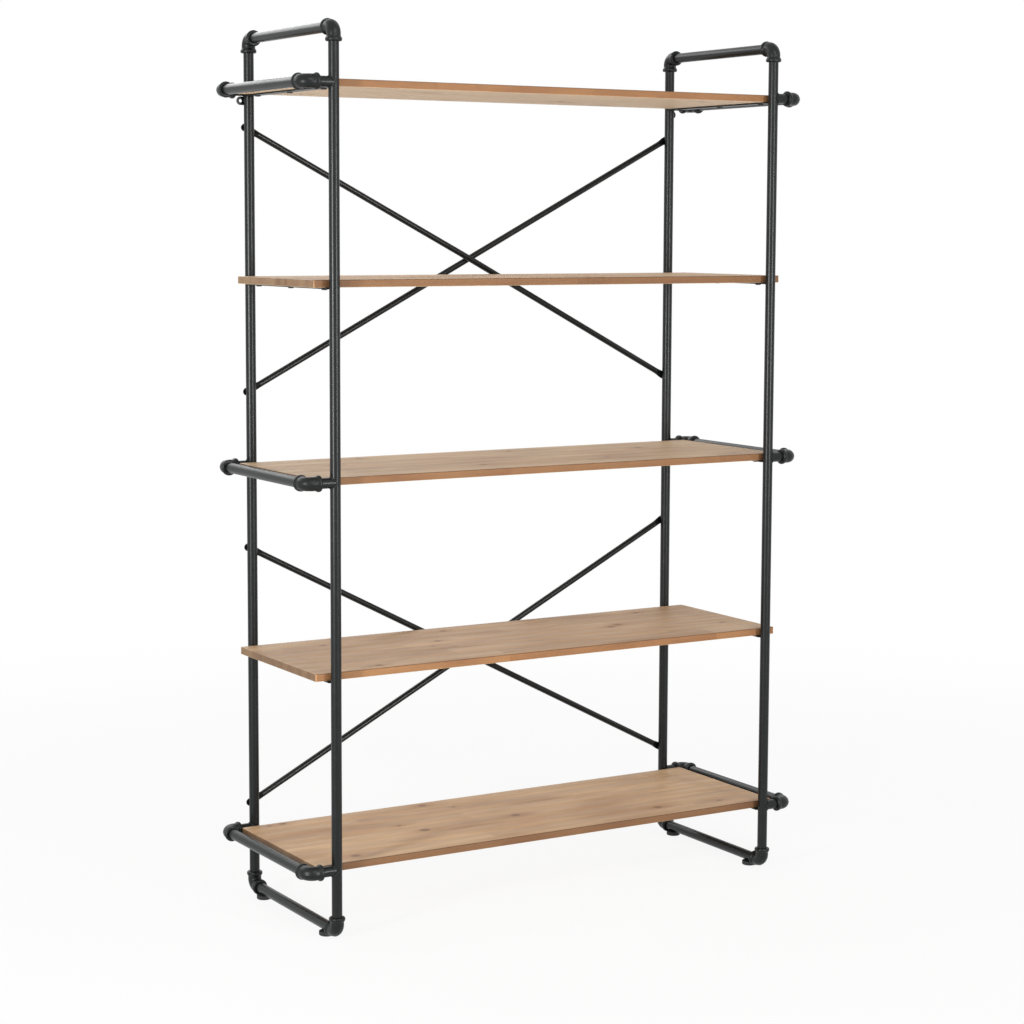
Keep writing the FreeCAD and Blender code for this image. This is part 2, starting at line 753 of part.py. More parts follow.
def make_foot_sleeves():
    """Make the threaded sleeves that cross the foot rails inside."""
    body = make_body("sleeve")
    section = make_sketch(body, "XY_Plane")
    draw_circle(section, "sleeve_diameter")
    draw_circle(section, "sleeve_bore")
    extrude(body, "Pad", section, "tube_diameter", middle=True)
    corners = list(corner_signs())
    sleeves = copies(body, len(corners))
    for item, (corner, across, back) in zip(sleeves, corners):
        place(item, across + "post_across", back + "foot_back", "foot_rail_up")
    bores = []
    for side, across in SIDES.items():
        bore = make_cylinder(side + "_rail_bore", "sleeve_fit_radius", "2 * post_back")
        bores.append(place(bore, across + "post_across", "-post_back", "foot_rail_up", ALONG_Y))
    fitted = combine("Common", "fitted_sleeves", group("sleeves", sleeves), group("rail_bores", bores))
    keep(fitted, "foot_sleeves", len(corners))


def write_parts():
    """Check every object and write each piece to its own file."""
    doc.recompute()
    for item in doc.Objects:
        if {"Invalid", "Error"} & set(item.State):
            raise RuntimeError(f"{item.Label} did not compute: {item.State}")
    for item, solids in pieces:
        shape = item.Shape
        if shape.isNull() or not shape.isValid() or len(shape.Solids) != solids:
            raise RuntimeError(f"{item.Label} is not the {solids} valid solids that it should be")
    os.makedirs("parts", exist_ok=True)
    for item, solids in pieces:
        item.Shape.exportStep(f"parts/{item.Label}.step")
        print(item.Label, solids, round(item.Shape.Volume))


post_clearance = make_post_clearance()
brace_list = [(f"{name}_{way}_brace", up, rise) for name, up in CROSSINGS.items() for way, rise in RISES.items()]
brace_end_list = [end for label, up, rise in brace_list for end in brace_ends(up, rise)]
make_posts(make_insert_bores(brace_end_list))
make_rails()
make_elbows()
make_standoffs()
for shelf_level, shelf_name in enumerate(SHELVES):
    make_shelf(shelf_name + "_shelf", shelf_level)
    make_bars(shelf_name + "_shelf_bars", shelf_level)
make_shelf_screws()
make_braces(brace_list, brace_end_list)
make_brace_bolts(brace_end_list)
make_brace_inserts(brace_end_list)
make_wall_ears()
for corner_name, across_sign, back_sign in corner_signs():
    make_foot(corner_name + "_foot", across_sign, back_sign)
make_foot_sleeves()
write_parts()
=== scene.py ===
import math

import bmesh
import bpy
import numpy as np
from bpy.props import FloatProperty, FloatVectorProperty, IntProperty, PointerProperty
from bpy.types import Operator, Panel, PropertyGroup
from mathutils import Matrix, Vector


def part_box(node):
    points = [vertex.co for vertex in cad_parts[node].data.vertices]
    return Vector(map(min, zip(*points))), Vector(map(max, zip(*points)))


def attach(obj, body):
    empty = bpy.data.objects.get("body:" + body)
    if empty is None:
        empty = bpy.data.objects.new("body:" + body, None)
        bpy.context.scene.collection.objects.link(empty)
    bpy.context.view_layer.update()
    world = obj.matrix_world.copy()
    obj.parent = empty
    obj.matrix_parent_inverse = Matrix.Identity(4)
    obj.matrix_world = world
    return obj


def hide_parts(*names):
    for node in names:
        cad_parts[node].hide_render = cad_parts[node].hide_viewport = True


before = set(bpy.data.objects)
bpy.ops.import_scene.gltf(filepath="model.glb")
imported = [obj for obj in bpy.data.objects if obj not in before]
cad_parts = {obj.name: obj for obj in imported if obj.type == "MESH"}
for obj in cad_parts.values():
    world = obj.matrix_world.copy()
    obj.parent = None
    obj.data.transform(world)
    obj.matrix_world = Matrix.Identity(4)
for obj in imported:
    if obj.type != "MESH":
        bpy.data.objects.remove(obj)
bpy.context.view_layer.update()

bl_info = {
    "name": "Tube frame bookcase",
    "version": (1, 0, 0),
    "blender": (4, 5, 0),
    "location": "3D View > Sidebar > Bookcase",
    "description": "Dresses the packed bookcase with cast elbows, glued boards, welds, paint and a studio",
    "category": "Object",
}

MM = 0.001
FULL_TURN = 2 * math.pi
CORNERS = ("front_left", "front_right", "rear_left", "rear_right")
SIDES = ("left", "right")
LEVELS = ("lower", "middle", "upper")
SHELVES = ("bottom", "lower", "middle", "upper", "top")
SHARP_ANGLE = math.radians(38)
MERGE_DISTANCE = 1e-6

# Knots of each board: place along and across it and radius, in mm from its centre
KNOTS = {
    "bottom": ((-236, -32, 10), (-8, -20, 9), (-138, 154, 7.5), (-453, -140, 9), (298, -115, 9),
               (451, -131, 5.5), (-468, 163, 7), (-505, 160, 4.5), (-267, 26, 5), (-89, 109, 4)),
    "lower": ((-100, 134, 6.5), (-170, 34, 6.5), (-402, -150, 7.5), (248, 0, 7.5), (279, 20, 7.5),
              (398, 131, 6), (-205, -15, 4), (-404, 105, 6), (496, -71, 6)),
    "middle": ((-127, -90, 6.5), (184, -78, 6), (-420, 40, 5.5), (352, 60, 7), (60, 128, 5.5),
               (-300, 140, 6), (470, -140, 4.5)),
    "upper": ((-330, 60, 7), (95, -60, 8), (420, 110, 5.5), (-60, 130, 6), (260, -140, 5), (-480, -120, 6)),
    "top": ((-250, -70, 7), (150, 60, 8), (400, -110, 6), (-80, 140, 5), (-440, 110, 6.5), (300, 130, 5)),
}

# Painted light and shade of each board, for how light falls on it: red, green and blue shares of its faces,
# paler and bluer on the upper boards as a painted sheen, and shade of its long edges
BOARD_PAINTED_LIGHT = {
    "bottom_shelf": ((0.96, 0.96, 0.96), 0.54),
    "lower_shelf": ((0.88, 0.88, 0.90), 0.98),
    "middle_shelf": ((0.97, 1.04, 1.12), 0.71),
    "upper_shelf": ((1.16, 1.24, 1.34), 0.59),
    "top_shelf": ((1.02, 1.02, 1.02), 0.88),
}

# Colours of parts of the boards, and shares by which their long edges take painted shade, their upper corners
# grow darker and the stain darkens their ends
WARM_STREAK = (0.480, 0.235, 0.092, 1)
KNOT_SHADE = (0.300, 0.132, 0.042, 1)
KNOT_RING = (0.220, 0.094, 0.028, 1)
GLUE_LINE = (0.150, 0.075, 0.036, 1)
BARE_UNDERSIDE = (0.720, 0.555, 0.370, 1)
EDGE_PAINTED_SHADE = (0.94, 0.68, 0.44)
ARRIS_DARKENING = (0.34, 0.32, 0.30, 1)
END_STAIN = (0.38, 0.34, 0.30, 1)
WHITE = (1, 1, 1, 1)

# Area lights: place, height of the point on the axis that each is aimed at, and size
LIGHTS = {
    "left_strip": ((-3.6, -1.5, 1.15), 1.0, (0.34, 1.3)),
    "right_strip": ((0.9, -3.85, 1.15), 1.0, (0.34, 1.3)),
    "key_light": ((-0.5, -3.7, 3.3), 0.9, (1.6, 1.2)),
    "back_light": ((-0.9, 3.6, 3.3), 1.2, (5.0, 1.2)),
}


# Values that a user may change
def length_value(name, description, default, low=0.0):
    """A length that a user may change."""
    return FloatProperty(
        name=name, description=description, subtype="DISTANCE", unit="LENGTH", precision=6,
        default=default, min=low)


def colour_value(name, description, default):
    """A colour that a user may change."""
    return FloatVectorProperty(
        name=name, description=description, subtype="COLOR", size=3, min=0, max=1, default=default)


def share_value(name, description, default):
    """A share between 0 and 1 that a user may change."""
    return FloatProperty(name=name, description=description, subtype="FACTOR", default=default, min=0, max=1)


def power_value(name, description, default):
    """The power of a light that a user may change."""
    return FloatProperty(
        name=name, description=description, subtype="POWER", unit="POWER", default=default, min=0)


class PaintSettings(PropertyGroup):
    """Paint on the steel tube, flat bar and castings."""
    colour: colour_value("Paint colour", "Dark grey paint of the frame", (0.0060, 0.0074, 0.0075))
    worn_colour: colour_value("Rubbed colour", "Paint where handling has dulled it", (0.0155, 0.0178, 0.0182))
    tube_roughness: share_value("Tube roughness", "Roughness of the paint on smooth tube", 0.31)
    casting_roughness: share_value("Casting roughness", "Roughness of the paint on bar and castings", 0.36)
    peel_depth: length_value("Orange peel", "Depth of the paint's orange peel", 0.000003)
    skin_depth: length_value("Cast skin", "Depth of the sand-cast skin on the fittings", 0.00012)


class ElbowSettings(PropertyGroup):
    """Shape of the cast elbows beyond their main sizes."""
    body_radius: length_value("Body radius", "Outside radius of the elbow between its beads", 0.014, 0.012)
    bead_width: length_value("Bead width", "Length of the bead ring at each outlet", 0.008, 0.002)
    bead_rounding: length_value("Bead rounding", "Rounding of the bead's outer corners", 0.0032)
    bead_fillet: length_value("Bead fillet", "Length of the run from the bead down to the body", 0.003)
    seam_height: length_value("Mould seam height", "Height of the seam where the mould halves met", 0.0003)
    seam_width: length_value("Mould seam width", "Half width of the mould seam", 0.0008)
    unevenness: length_value("Unevenness", "Gentle unevenness of each casting", 0.00012)


class ShelfSettings(PropertyGroup):
    """Glued softwood boards."""
    stave_width: length_value("Stave width", "Width of one glued stave", 0.0588, 0.01)
    stave_length: length_value("Stave length", "Length between the end joints of a stave", 0.52, 0.1)
    ring_spacing: length_value("Ring spacing", "Thickness of one year's growth", 0.0034, 0.0005)
    corner_radius: length_value("Corner radius", "Rounding of the board's corners in plan", 0.004)
    edge_radius: length_value("Edge radius", "Rounding of the board's long and end edges", 0.0015)
    joint_depth: length_value("Joint groove", "Depth of the fine groove at each glue joint", 0.00018)
    pale_wood: colour_value("Pale wood", "Stained early wood", (0.630, 0.418, 0.232))
    deep_wood: colour_value("Deep wood", "Stained late wood and dark streaks", (0.330, 0.174, 0.078))
    knot_wood: colour_value("Knot wood", "Heart of a knot", (0.120, 0.046, 0.012))


class MetalworkSettings(PropertyGroup):
    """Flat bar, wall ears and welds."""
    edge_radius: length_value("Edge rounding", "Rounding of the flat bar's edges", 0.0006)
    weld_radius: length_value("Weld size", "Radius of the weld bead", 0.0014)
    weld_ripple: length_value("Weld ripple", "Spacing of the ripples along a weld", 0.0018, 0.0005)
    ripple_share: share_value("Ripple height", "Height of the ripples as a share of the weld", 0.1)


class FootSettings(PropertyGroup):
    """Moulded levelling feet."""
    colour: colour_value("Plastic colour", "Colour of the moulded feet", (0.014, 0.014, 0.015))
    grip_count: IntProperty(
        name="Grip ribs", description="Number of grip ribs round a foot", default=24, min=1)
    grip_depth: length_value("Grip depth", "Depth of the hollows between the ribs", 0.0006)
    thread_pitch: length_value("Thread pitch", "Pitch of the stud's thread", 0.001, 0.0002)
    thread_depth: length_value("Thread depth", "Depth of the stud's thread", 0.0006)


class StudioSettings(PropertyGroup):
    """Floor, light and camera."""
    floor_colour: colour_value("Floor colour", "Colour of the plain floor", (0.8, 0.8, 0.8))
    floor_radius: length_value("Floor radius", "Radius of the round floor", 9.0, 2)
    ambient: FloatProperty(
        name="Ambient light", description="Strength of the light from all round",
        default=0.38, min=0)
    left_power: power_value("Left strip", "Power of the upright strip light on the left", 104)
    right_power: power_value("Right strip", "Power of the upright strip light on the right", 66)
    key_power: power_value("Key light", "Power of the high light at the front", 46)
    back_power: power_value("Back light", "Power of the light above and behind", 58)
    lens: FloatProperty(
        name="Focal length", description="Focal length of the camera in mm on a 36 mm sensor",
        default=82.92, min=10)


def centre(node):
    """Middle of a solid's box."""
    low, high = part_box(node)
    return (np.array(low) + np.array(high)) / 2


def half_size(node):
    """Half of the sizes of a solid's box."""
    low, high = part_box(node)
    return (np.array(high) - np.array(low)) / 2


def unit(vector):
    """A vector at length one."""
    vector = np.asarray(vector, float)
    return vector / np.linalg.norm(vector)


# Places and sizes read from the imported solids
TUBE_RADIUS = half_size("front_left_post")[0]
POST_PLACE = {corner: centre(corner + "_post")[:2] for corner in CORNERS}

# Sizes that the solids have and their boxes don't show, with the gap between joined solids
CLEARANCE = 0.05 * MM
CLEAR_RADIUS = TUBE_RADIUS + CLEARANCE
TUBE_BORE = TUBE_RADIUS - 1.5 * MM
SOCKET_DEPTH = 12 * MM
ELBOW_THROAT = 1 * MM
EAR_HOLE = 3.25 * MM
STUD_RADIUS = 3 * MM

# How far the beads stay inside the solids, and numbers of points round a section or along a weld
INSIDE = 0.02 * MM
TUBE_SIDES = 72
STUD_SIDES = 40
WELD_SIDES = 10
WELD_STEPS = 240
BAR_WELD_STEPS = 90


# Surfaces as whole arrays
def grid_points(x, y, z):
    """Points whose coordinates are spread to one shape."""
    return np.stack(np.broadcast_arrays(x, y, z), axis=-1)


def straight_path(origin, direction, side):
    """A straight line: origin plus distance times direction, with two directions square to it."""
    direction, side = unit(direction), unit(side)
    other = np.cross(direction, side)

    def at(distance):
        distance = np.asarray(distance, float)[..., None]
        points = np.asarray(origin) + distance * direction
        return points, np.broadcast_to(side, points.shape), np.broadcast_to(other, points.shape)
    return at


def bent_path(corner, first, second, radius):
    """Two straight runs from a corner joined by an arc of the given radius.

    Distance is counted from the middle of the arc. On the arc the angle is distance over radius, held
    to half of the turn, and past it the point goes on straight along the tangent.
    """
    first, second = unit(first), unit(second)
    inward, onward = unit(first + second), unit(second - first)
    half_turn = math.acos(np.clip(-first @ second, -1, 1)) / 2
    hub = np.asarray(corner) + inward * radius / math.cos(half_turn)
    other = np.cross(onward, inward)

    def at(distance):
        distance = np.asarray(distance, float)
        angle = np.clip(distance / radius, -half_turn, half_turn)
        rest = (distance - angle * radius)[..., None]
        cosine, sine = np.cos(angle)[..., None], np.sin(angle)[..., None]
        tangent = cosine * onward + sine * inward
        normal = cosine * inward - sine * onward
        return hub - radius * normal + rest * tangent, normal, np.broadcast_to(other, normal.shape)
    return at


def carry(path, along, out, angles):
    """Rings carried along a path: path point plus radius times (cosine across plus sine up)."""
    along, out, angles = np.broadcast_arrays(along, out, angles)
    points, across, up = path(along)
    ring = np.cos(angles)[..., None] * across + np.sin(angles)[..., None] * up
    return points + out[..., None] * ring


def grid_quads(rows, columns, wrap_rows=False):
    """Quads between neighbouring points of a grid whose columns go all the way round."""
    index = np.arange(rows * columns).reshape(rows, columns)
    if wrap_rows:
        index = np.vstack((index, index[:1]))
    index = np.hstack((index, index[:, :1]))
    return np.stack((index[:-1, :-1], index[:-1, 1:], index[1:, 1:], index[1:, :-1]), axis=-1).reshape(-1, 4)


def closed_ring(points):
    """A shell of grid points that closes on itself both ways, as a tube with a bore does."""
    return points.reshape(-1, 3), grid_quads(*points.shape[:2], wrap_rows=True)


def closed_lathe(points):
    """A shell whose first and last rings shrink to a point."""
    return points.reshape(-1, 3), grid_quads(*points.shape[:2])


def closed_slab(points):
    """A shell of stations along a bar, each a loop that runs over the top and back underneath.

    Point j of a loop lies over point count - 1 - j, so each end is closed by quads between the two.
    """
    rows, count = points.shape[:2]
    side = np.arange(count // 2 - 1)
    cap = np.stack((side, side + 1, count - 2 - side, count - 1 - side), axis=-1)
    quads = np.vstack((grid_quads(rows, count), cap[:, ::-1], cap + (rows - 1) * count))
    return points.reshape(-1, 3), quads


def add_object(name, data):
    """An object in the scene for a mesh, a light or a camera."""
    made = bpy.data.objects.new(name, data)
    bpy.context.scene.collection.objects.link(made)
    return made


def make_piece(name, shells, look, slot_name, body, *nodes):
    """Put shells of points and quads into one mesh that stands for the given nodes."""
    starts = np.cumsum([0] + [len(points) for points, _ in shells])
    points = np.vstack([points for points, _ in shells]).astype(np.float32)
    quads = np.vstack([quads + start for (_, quads), start in zip(shells, starts)]).astype(np.int32)
    mesh = bpy.data.meshes.new(name)
    mesh.vertices.add(len(points))
    mesh.vertices.foreach_set("co", points.ravel())
    mesh.loops.add(quads.size)
    mesh.loops.foreach_set("vertex_index", quads.ravel())
    mesh.polygons.add(len(quads))
    mesh.polygons.foreach_set("loop_start", np.arange(0, quads.size, 4, dtype=np.int32))
    mesh.update(calc_edges=True)
    shell = bmesh.new()
    shell.from_mesh(mesh)
    bmesh.ops.remove_doubles(shell, verts=shell.verts, dist=MERGE_DISTANCE)
    bmesh.ops.dissolve_degenerate(shell, edges=shell.edges, dist=MERGE_DISTANCE)
    bmesh.ops.recalc_face_normals(shell, faces=shell.faces)
    shell.to_mesh(mesh)
    shell.free()
    mesh.validate()
    mesh.shade_smooth()
    mesh.set_sharp_from_angle(angle=SHARP_ANGLE)
    mesh.materials.append(look)
    piece = add_object(name, mesh)
    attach(piece, body)
    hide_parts(*nodes)


def finish_nodes(look, *nodes):
    """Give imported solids, whose shape is right, a better material."""
    for node in nodes:
        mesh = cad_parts[node].data
        mesh.materials.clear()
        mesh.materials.append(look)


def even_angles(count):
    """Angles spaced evenly round a full turn."""
    return np.arange(count) * FULL_TURN / count


def quarter(count=7):
    """Sine and cosine of angles over a right angle."""
    angle = np.linspace(0, 1, count) * math.pi / 2
    return np.sin(angle), np.cos(angle)


# Cast elbows
def bead_profile(settings, bead_radius, outlet):
    """Outside of one leg as distances from the corner and radii, from the outlet inward.

    A short lip from the socket, a quarter circle up to the bead, its level top, then a half cosine
    wave down to the body.
    """
    rounding, body, lip = settings.bead_rounding, settings.body_radius, 0.5 * MM
    sine, cosine = quarter()
    top = np.linspace(0, 1, 5)[1:]
    fall = np.linspace(0, 1, 9)[1:]
    top_length = settings.bead_width - 2 * rounding
    depth = np.concatenate((
        [lip, 0],
        rounding * (1 - cosine),
        rounding + top_length * top,
        rounding + top_length + (rounding + settings.bead_fillet) * fall,
    ))
    out = np.concatenate((
        [CLEAR_RADIUS, TUBE_RADIUS + lip],
        bead_radius - rounding * (1 - sine),
        np.full(len(top), bead_radius),
        body + (bead_radius - body) * (1 + np.cos(fall * math.pi)) / 2,
    ))
    return outlet - depth, out


def seam_angles():
    """Angles round a section, closer together at the two mould seams."""
    fine = np.radians([-9, -6, -4, -2.5, -1.2, 0, 1.2, 2.5, 4, 6, 9])
    coarse = np.radians(np.arange(16.5, 166, 7.5))
    return np.sort(np.concatenate((fine, coarse, fine + math.pi, coarse + math.pi)) % FULL_TURN)


def cast_elbow(settings, corner, first, second, outlet, bead_radius, phase):
    """Shell of one elbow: the bead profile on both legs, a round body through the bend and a bore.

    The body's radius is raised along the plane of the bend by a narrow bell curve, where the mould
    halves met, and everywhere by three slow waves that differ from casting to casting.
    """
    bend = settings.body_radius + ELBOW_THROAT
    half_arc = bend * math.pi / 4
    path = bent_path(corner, first, second, bend)
    least_step = 0.2 * MM
    leg, out = bead_profile(settings, bead_radius, outlet)
    leg = leg - bend + half_arc
    middle = np.linspace(-half_arc, half_arc, 17)
    middle = middle[np.abs(middle) < leg[-1] - least_step]
    outer = np.concatenate((-leg, middle, leg[::-1]))
    outer_radius = np.concatenate((out, np.full(len(middle), settings.body_radius), out[::-1]))
    shoulder = leg[1] - SOCKET_DEPTH
    inner = np.array([leg[0], shoulder, shoulder, half_arc])
    inner = np.concatenate((inner, np.linspace(half_arc, -half_arc, 13)[1:-1], -inner[::-1]))
    inner_radius = np.full(len(inner), TUBE_BORE)
    inner_radius[[0, 1, -2, -1]] = CLEAR_RADIUS
    angles = seam_angles()
    from_seam = np.abs(np.sin(angles)) * settings.body_radius
    seam = settings.seam_height * np.exp(-(from_seam / settings.seam_width) ** 2)
    waves = sum(
        np.sin(turns * angles + reach * outer[:, None] / settings.body_radius + shift)
        for turns, reach, shift in ((1, 1.3, phase), (2, -0.9, 2.1 * phase), (3, 0.6, 3.7 * phase)))
    station = np.arange(len(outer))
    open_air = (station > 1) & (station < len(outer) - 2)
    skin = outer_radius[:, None] + open_air[:, None] * (seam + settings.unevenness * (waves / 3 - 1))
    limit = np.where(open_air, bead_radius, outer_radius)[:, None]
    rings = carry(path, outer[:, None], np.minimum(skin, limit), angles)
    hollow = carry(path, inner[:, None], inner_radius[:, None], angles)
    return closed_ring(np.concatenate((rings, hollow)))


def elbow_places():
    """Yield name, corner point and the two outlet directions of every elbow."""
    for corner in CORNERS:
        end, side = corner.split("_")
        inward = np.array([0, 1 if end == "front" else -1, 0])
        toward_post = np.array([1 if side == "left" else -1, 0, 0])
        back = POST_PLACE[corner][1]
        for height, along in (("foot", 1), ("top", -1)):
            rail = centre(f"{side}_{height}_rail")
            yield f"{corner}_{height}_elbow", (rail[0], back, rail[2]), inward, np.array([0, 0, along])
        for level in LEVELS:
            rail = centre(f"{side}_{level}_side_rail")
            yield f"{corner}_{level}_side_elbow", (rail[0], back, rail[2]), inward, toward_post


# Welds
def weld_bead(points, inward, outward, settings, taper=False):
    """A rippled bead carried along points: a circle whose radius swells and falls along the run.

    The radius is the weld's size times one plus the ripple share times a sine of the distance run.
    Where the bead has two ends, the radius also falls to nothing there as a quarter ellipse does.
    """
    steps = np.linalg.norm(np.diff(points, axis=0), axis=1)
    run = np.concatenate(([0], np.cumsum(steps)))
    ripple = np.sin(FULL_TURN * run / settings.weld_ripple)
    radius = settings.weld_radius * (1 + settings.ripple_share * ripple)
    if taper:
        near_end = np.minimum(run, run[-1] - run) / (2 * settings.weld_radius)
        radius = radius * np.sqrt(np.clip(1 - (1 - np.clip(near_end, 0, 1)) ** 2, 0, 1))
    angles = even_angles(WELD_SIDES)[None, :, None]
    ring = np.cos(angles) * inward[:, None, :] + np.sin(angles) * outward[:, None, :]
    shell = points[:, None, :] + radius[:, None, None] * ring
    return closed_lathe(shell) if taper else closed_ring(shell)


# Stand-offs
def beside_post(off_axis):
    """How far from a post's axis its clearance circle lies, at a distance to the side of that axis."""
    return np.sqrt(np.maximum(CLEAR_RADIUS ** 2 - off_axis ** 2, 0))


def coped_tube(post, back, height, sign, length, settings):
    """Shells of one stand-off: a tube along X whose near end follows the post, and its weld.

    Each point round the section starts where the post's clearance circle lies at its depth. The weld
    follows the same line just off the tube's outside.
    """
    angles = even_angles(TUBE_SIDES)
    path = straight_path((post, back, height), (sign, 0, 0), (0, 1, 0))
    edge, stand_off = 0.3 * MM, 0.35 * MM
    outside, inside = beside_post(TUBE_RADIUS * np.cos(angles)), beside_post(TUBE_BORE * np.cos(angles))
    far_end = [np.full(TUBE_SIDES, end) for end in (length - edge, length, length)]
    along = np.stack([outside, (outside + length) / 2, *far_end, (inside + length) / 2, inside])
    out = np.array([TUBE_RADIUS] * 3 + [TUBE_RADIUS - edge] + [TUBE_BORE] * 3)
    tube = closed_ring(carry(path, along, out[:, None], angles))
    fine = even_angles(WELD_STEPS)
    circle = grid_points(0.0, np.cos(fine), np.sin(fine))
    line = circle * (TUBE_RADIUS + stand_off)
    line[:, 0] = sign * (beside_post(TUBE_RADIUS * np.cos(fine)) + stand_off)
    line += np.array([post, back, height])
    weld = weld_bead(line, np.broadcast_to((float(sign), 0, 0), line.shape), circle, settings)
    return [tube, weld]


# Boards and flat bars
def rounded_loop(half_across, half_up, radius, marks):
    """Loop of a rounded bar section: over the top from one edge to the other and back underneath.

    marks are the places across the flat where the surface has points. The lower half mirrors the
    upper one, so that the two close the ends between them.
    """
    sine, cosine = quarter()
    edge_across = half_across - radius * (1 - cosine)
    edge_up = half_up - radius * (1 - sine)
    flat = np.sort(np.asarray(marks))[::-1]
    across = np.concatenate((edge_across, flat, -edge_across[::-1]))
    up = np.concatenate((edge_up, np.full(len(flat), half_up), edge_up[::-1]))
    return np.concatenate((across, across[::-1])), np.concatenate((up, -up[::-1]))


def end_rounding(radius, count=7):
    """Distances in from an end and the loss of thickness there, along a quarter circle."""
    sine, cosine = quarter(count)
    return radius * (1 - sine), radius * (1 - cosine)


def arc_loss(radius, inset):
    """Loss of thickness at a distance in from an end that a quarter circle rounds."""
    return radius - np.sqrt(np.maximum(radius ** 2 - np.maximum(radius - inset, 0) ** 2, 0))


def thinned(up, half_thick, loss):
    """Heights of a section at stations along a bar that each lose some thickness."""
    return np.sign(up) * np.minimum(np.abs(up), (half_thick - loss)[:, None])


def wood_board(node, settings):
    """Shell of one board, with a fine groove at each glue joint on both faces.

    The section is a rounded rectangle. Toward the ends its half depth falls as a quarter circle of
    the corner radius, and its thickness as one of the edge radius.
    """
    half_long, half_deep, half_thick = half_size(node)
    corner, edge = settings.corner_radius, settings.edge_radius
    groove, corner_zone, end_zone = 0.22 * MM, 8 * MM, 20 * MM
    rows = round(2 * half_deep / settings.stave_width)
    joints = (np.arange(1, rows) - rows / 2) * 2 * half_deep / rows
    steps = np.array([-0.5, -0.2, 0, 0.2, 0.5]) * MM
    marks = np.concatenate([joint + steps for joint in joints])
    between = (joints[:-1] + joints[1:]) / 2
    across, up = rounded_loop(half_deep, half_thick, edge, np.concatenate((marks, between)))
    nearest = np.min(np.abs(across[:, None] - joints), axis=1)
    up = up - np.sign(up) * settings.joint_depth * np.exp(-(nearest / groove) ** 2)
    inset = np.unique(np.round(np.concatenate((end_rounding(corner, 9)[0], end_rounding(edge)[0])), 7))
    middle = np.linspace(end_zone - half_long, half_long - end_zone, 21)
    along = np.concatenate((inset - half_long, middle, half_long - inset[::-1]))
    narrow, thin = (np.concatenate((loss, np.zeros(len(middle)), loss[::-1]))
                    for loss in (arc_loss(corner, inset), arc_loss(edge, inset)))
    free = half_deep - corner_zone
    over = np.maximum(np.abs(across) - free, 0) / (half_deep - free)
    wide = np.sign(across) * (np.abs(across) - over * narrow[:, None])
    tall = thinned(up, half_thick, thin)
    return closed_slab(grid_points(along[:, None], wide, tall) + centre(node))


def flat_bar(side, node, settings):
    """Shells of one support bar: a flat section whose ends follow the posts, and its welds.

    Each point across the bar ends on the post's clearance circle, or on the square end of the bar
    where that lies nearer.
    """
    post, back = POST_PLACE["rear_" + side]
    low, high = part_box(node)
    half_long = (high.y - low.y) / 2
    half_thick = (high.z - low.z) / 2
    half_wide = (high.x - low.x) / 2 - abs(post)
    notch = beside_post(back - half_long)
    inside, outside = 0.999, 1.02
    steps = np.concatenate((np.linspace(-1, 1, 17) * notch * inside, [-notch * outside, notch * outside]))
    across, up = rounded_loop(half_wide, half_thick, settings.edge_radius, steps)
    curved = back - beside_post(across)
    end = np.where(np.abs(across) < notch, np.maximum(np.minimum(curved, half_long), 0), half_long)
    inset, loss = end_rounding(settings.edge_radius)
    share = np.linspace(-0.9, 0.9, 9)
    along = np.concatenate((inset[::-1, None] - end, share[:, None] * end, end - inset[:, None]))
    tall = thinned(up, half_thick, np.concatenate((loss[::-1], np.zeros(len(share)), loss)))
    middle = np.array([post, 0, (low.z + high.z) / 2])
    bar = closed_slab(grid_points(across, along, tall) + middle)
    turn = np.linspace(-1, 1, BAR_WELD_STEPS) * math.asin(notch / CLEAR_RADIUS)
    shells = [bar]
    for sign in (-1, 1):
        line = grid_points(
            post + CLEAR_RADIUS * np.sin(turn), sign * (back - CLEAR_RADIUS * np.cos(turn)), low.z)
        outward = grid_points(np.sin(turn), -sign * np.cos(turn), 0.0)
        down = np.broadcast_to((0.0, 0.0, -1.0), line.shape)
        shells.append(weld_bead(line, outward, down, settings, taper=True))
    return shells


def wall_ear(side, settings):
    """Shell of one ring ear, rounded at its edges, with its neck run up to the post.

    Round the hole the outline is the ring's circle on the free side. Toward the post it is the
    neck's straight edge, and then the line where the plate meets the round post.
    """
    low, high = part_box("wall_ears")
    sign = -1 if side == "left" else 1
    post, back = POST_PLACE["rear_" + side]
    ring = (high.z - low.z) / 2
    reach = high.x - ring - abs(post)
    angles = even_angles(2 * TUBE_SIDES)
    toward = -np.cos(angles)
    rise = np.abs(np.sin(angles))
    inset, loss = end_rounding(settings.edge_radius, 6)
    pull = np.concatenate((inset, inset[::-1]))
    depth = np.concatenate((low.y + loss, high.y - loss[::-1]))
    end = reach - beside_post(depth - back)
    tiny, hair, far = 1e-6, 1e-9, 1.0
    neck = np.where(rise > tiny, ring / np.maximum(rise, tiny), far)
    stop = np.where(toward > tiny, end[:, None] / np.maximum(toward, tiny), far)
    outline = np.where(toward > 0, np.minimum(neck, stop), ring)
    outline = outline - pull[:, None] * (outline < stop - hair)

    def loops(radius, depth):
        return grid_points(
            sign * (abs(post) + reach + radius * np.cos(angles)), depth[:, None],
            (low.z + high.z) / 2 + radius * np.sin(angles))
    bore = (EAR_HOLE + pull[::-1])[:, None]
    return closed_ring(np.concatenate((loops(outline, depth), loops(bore, depth[::-1]))))


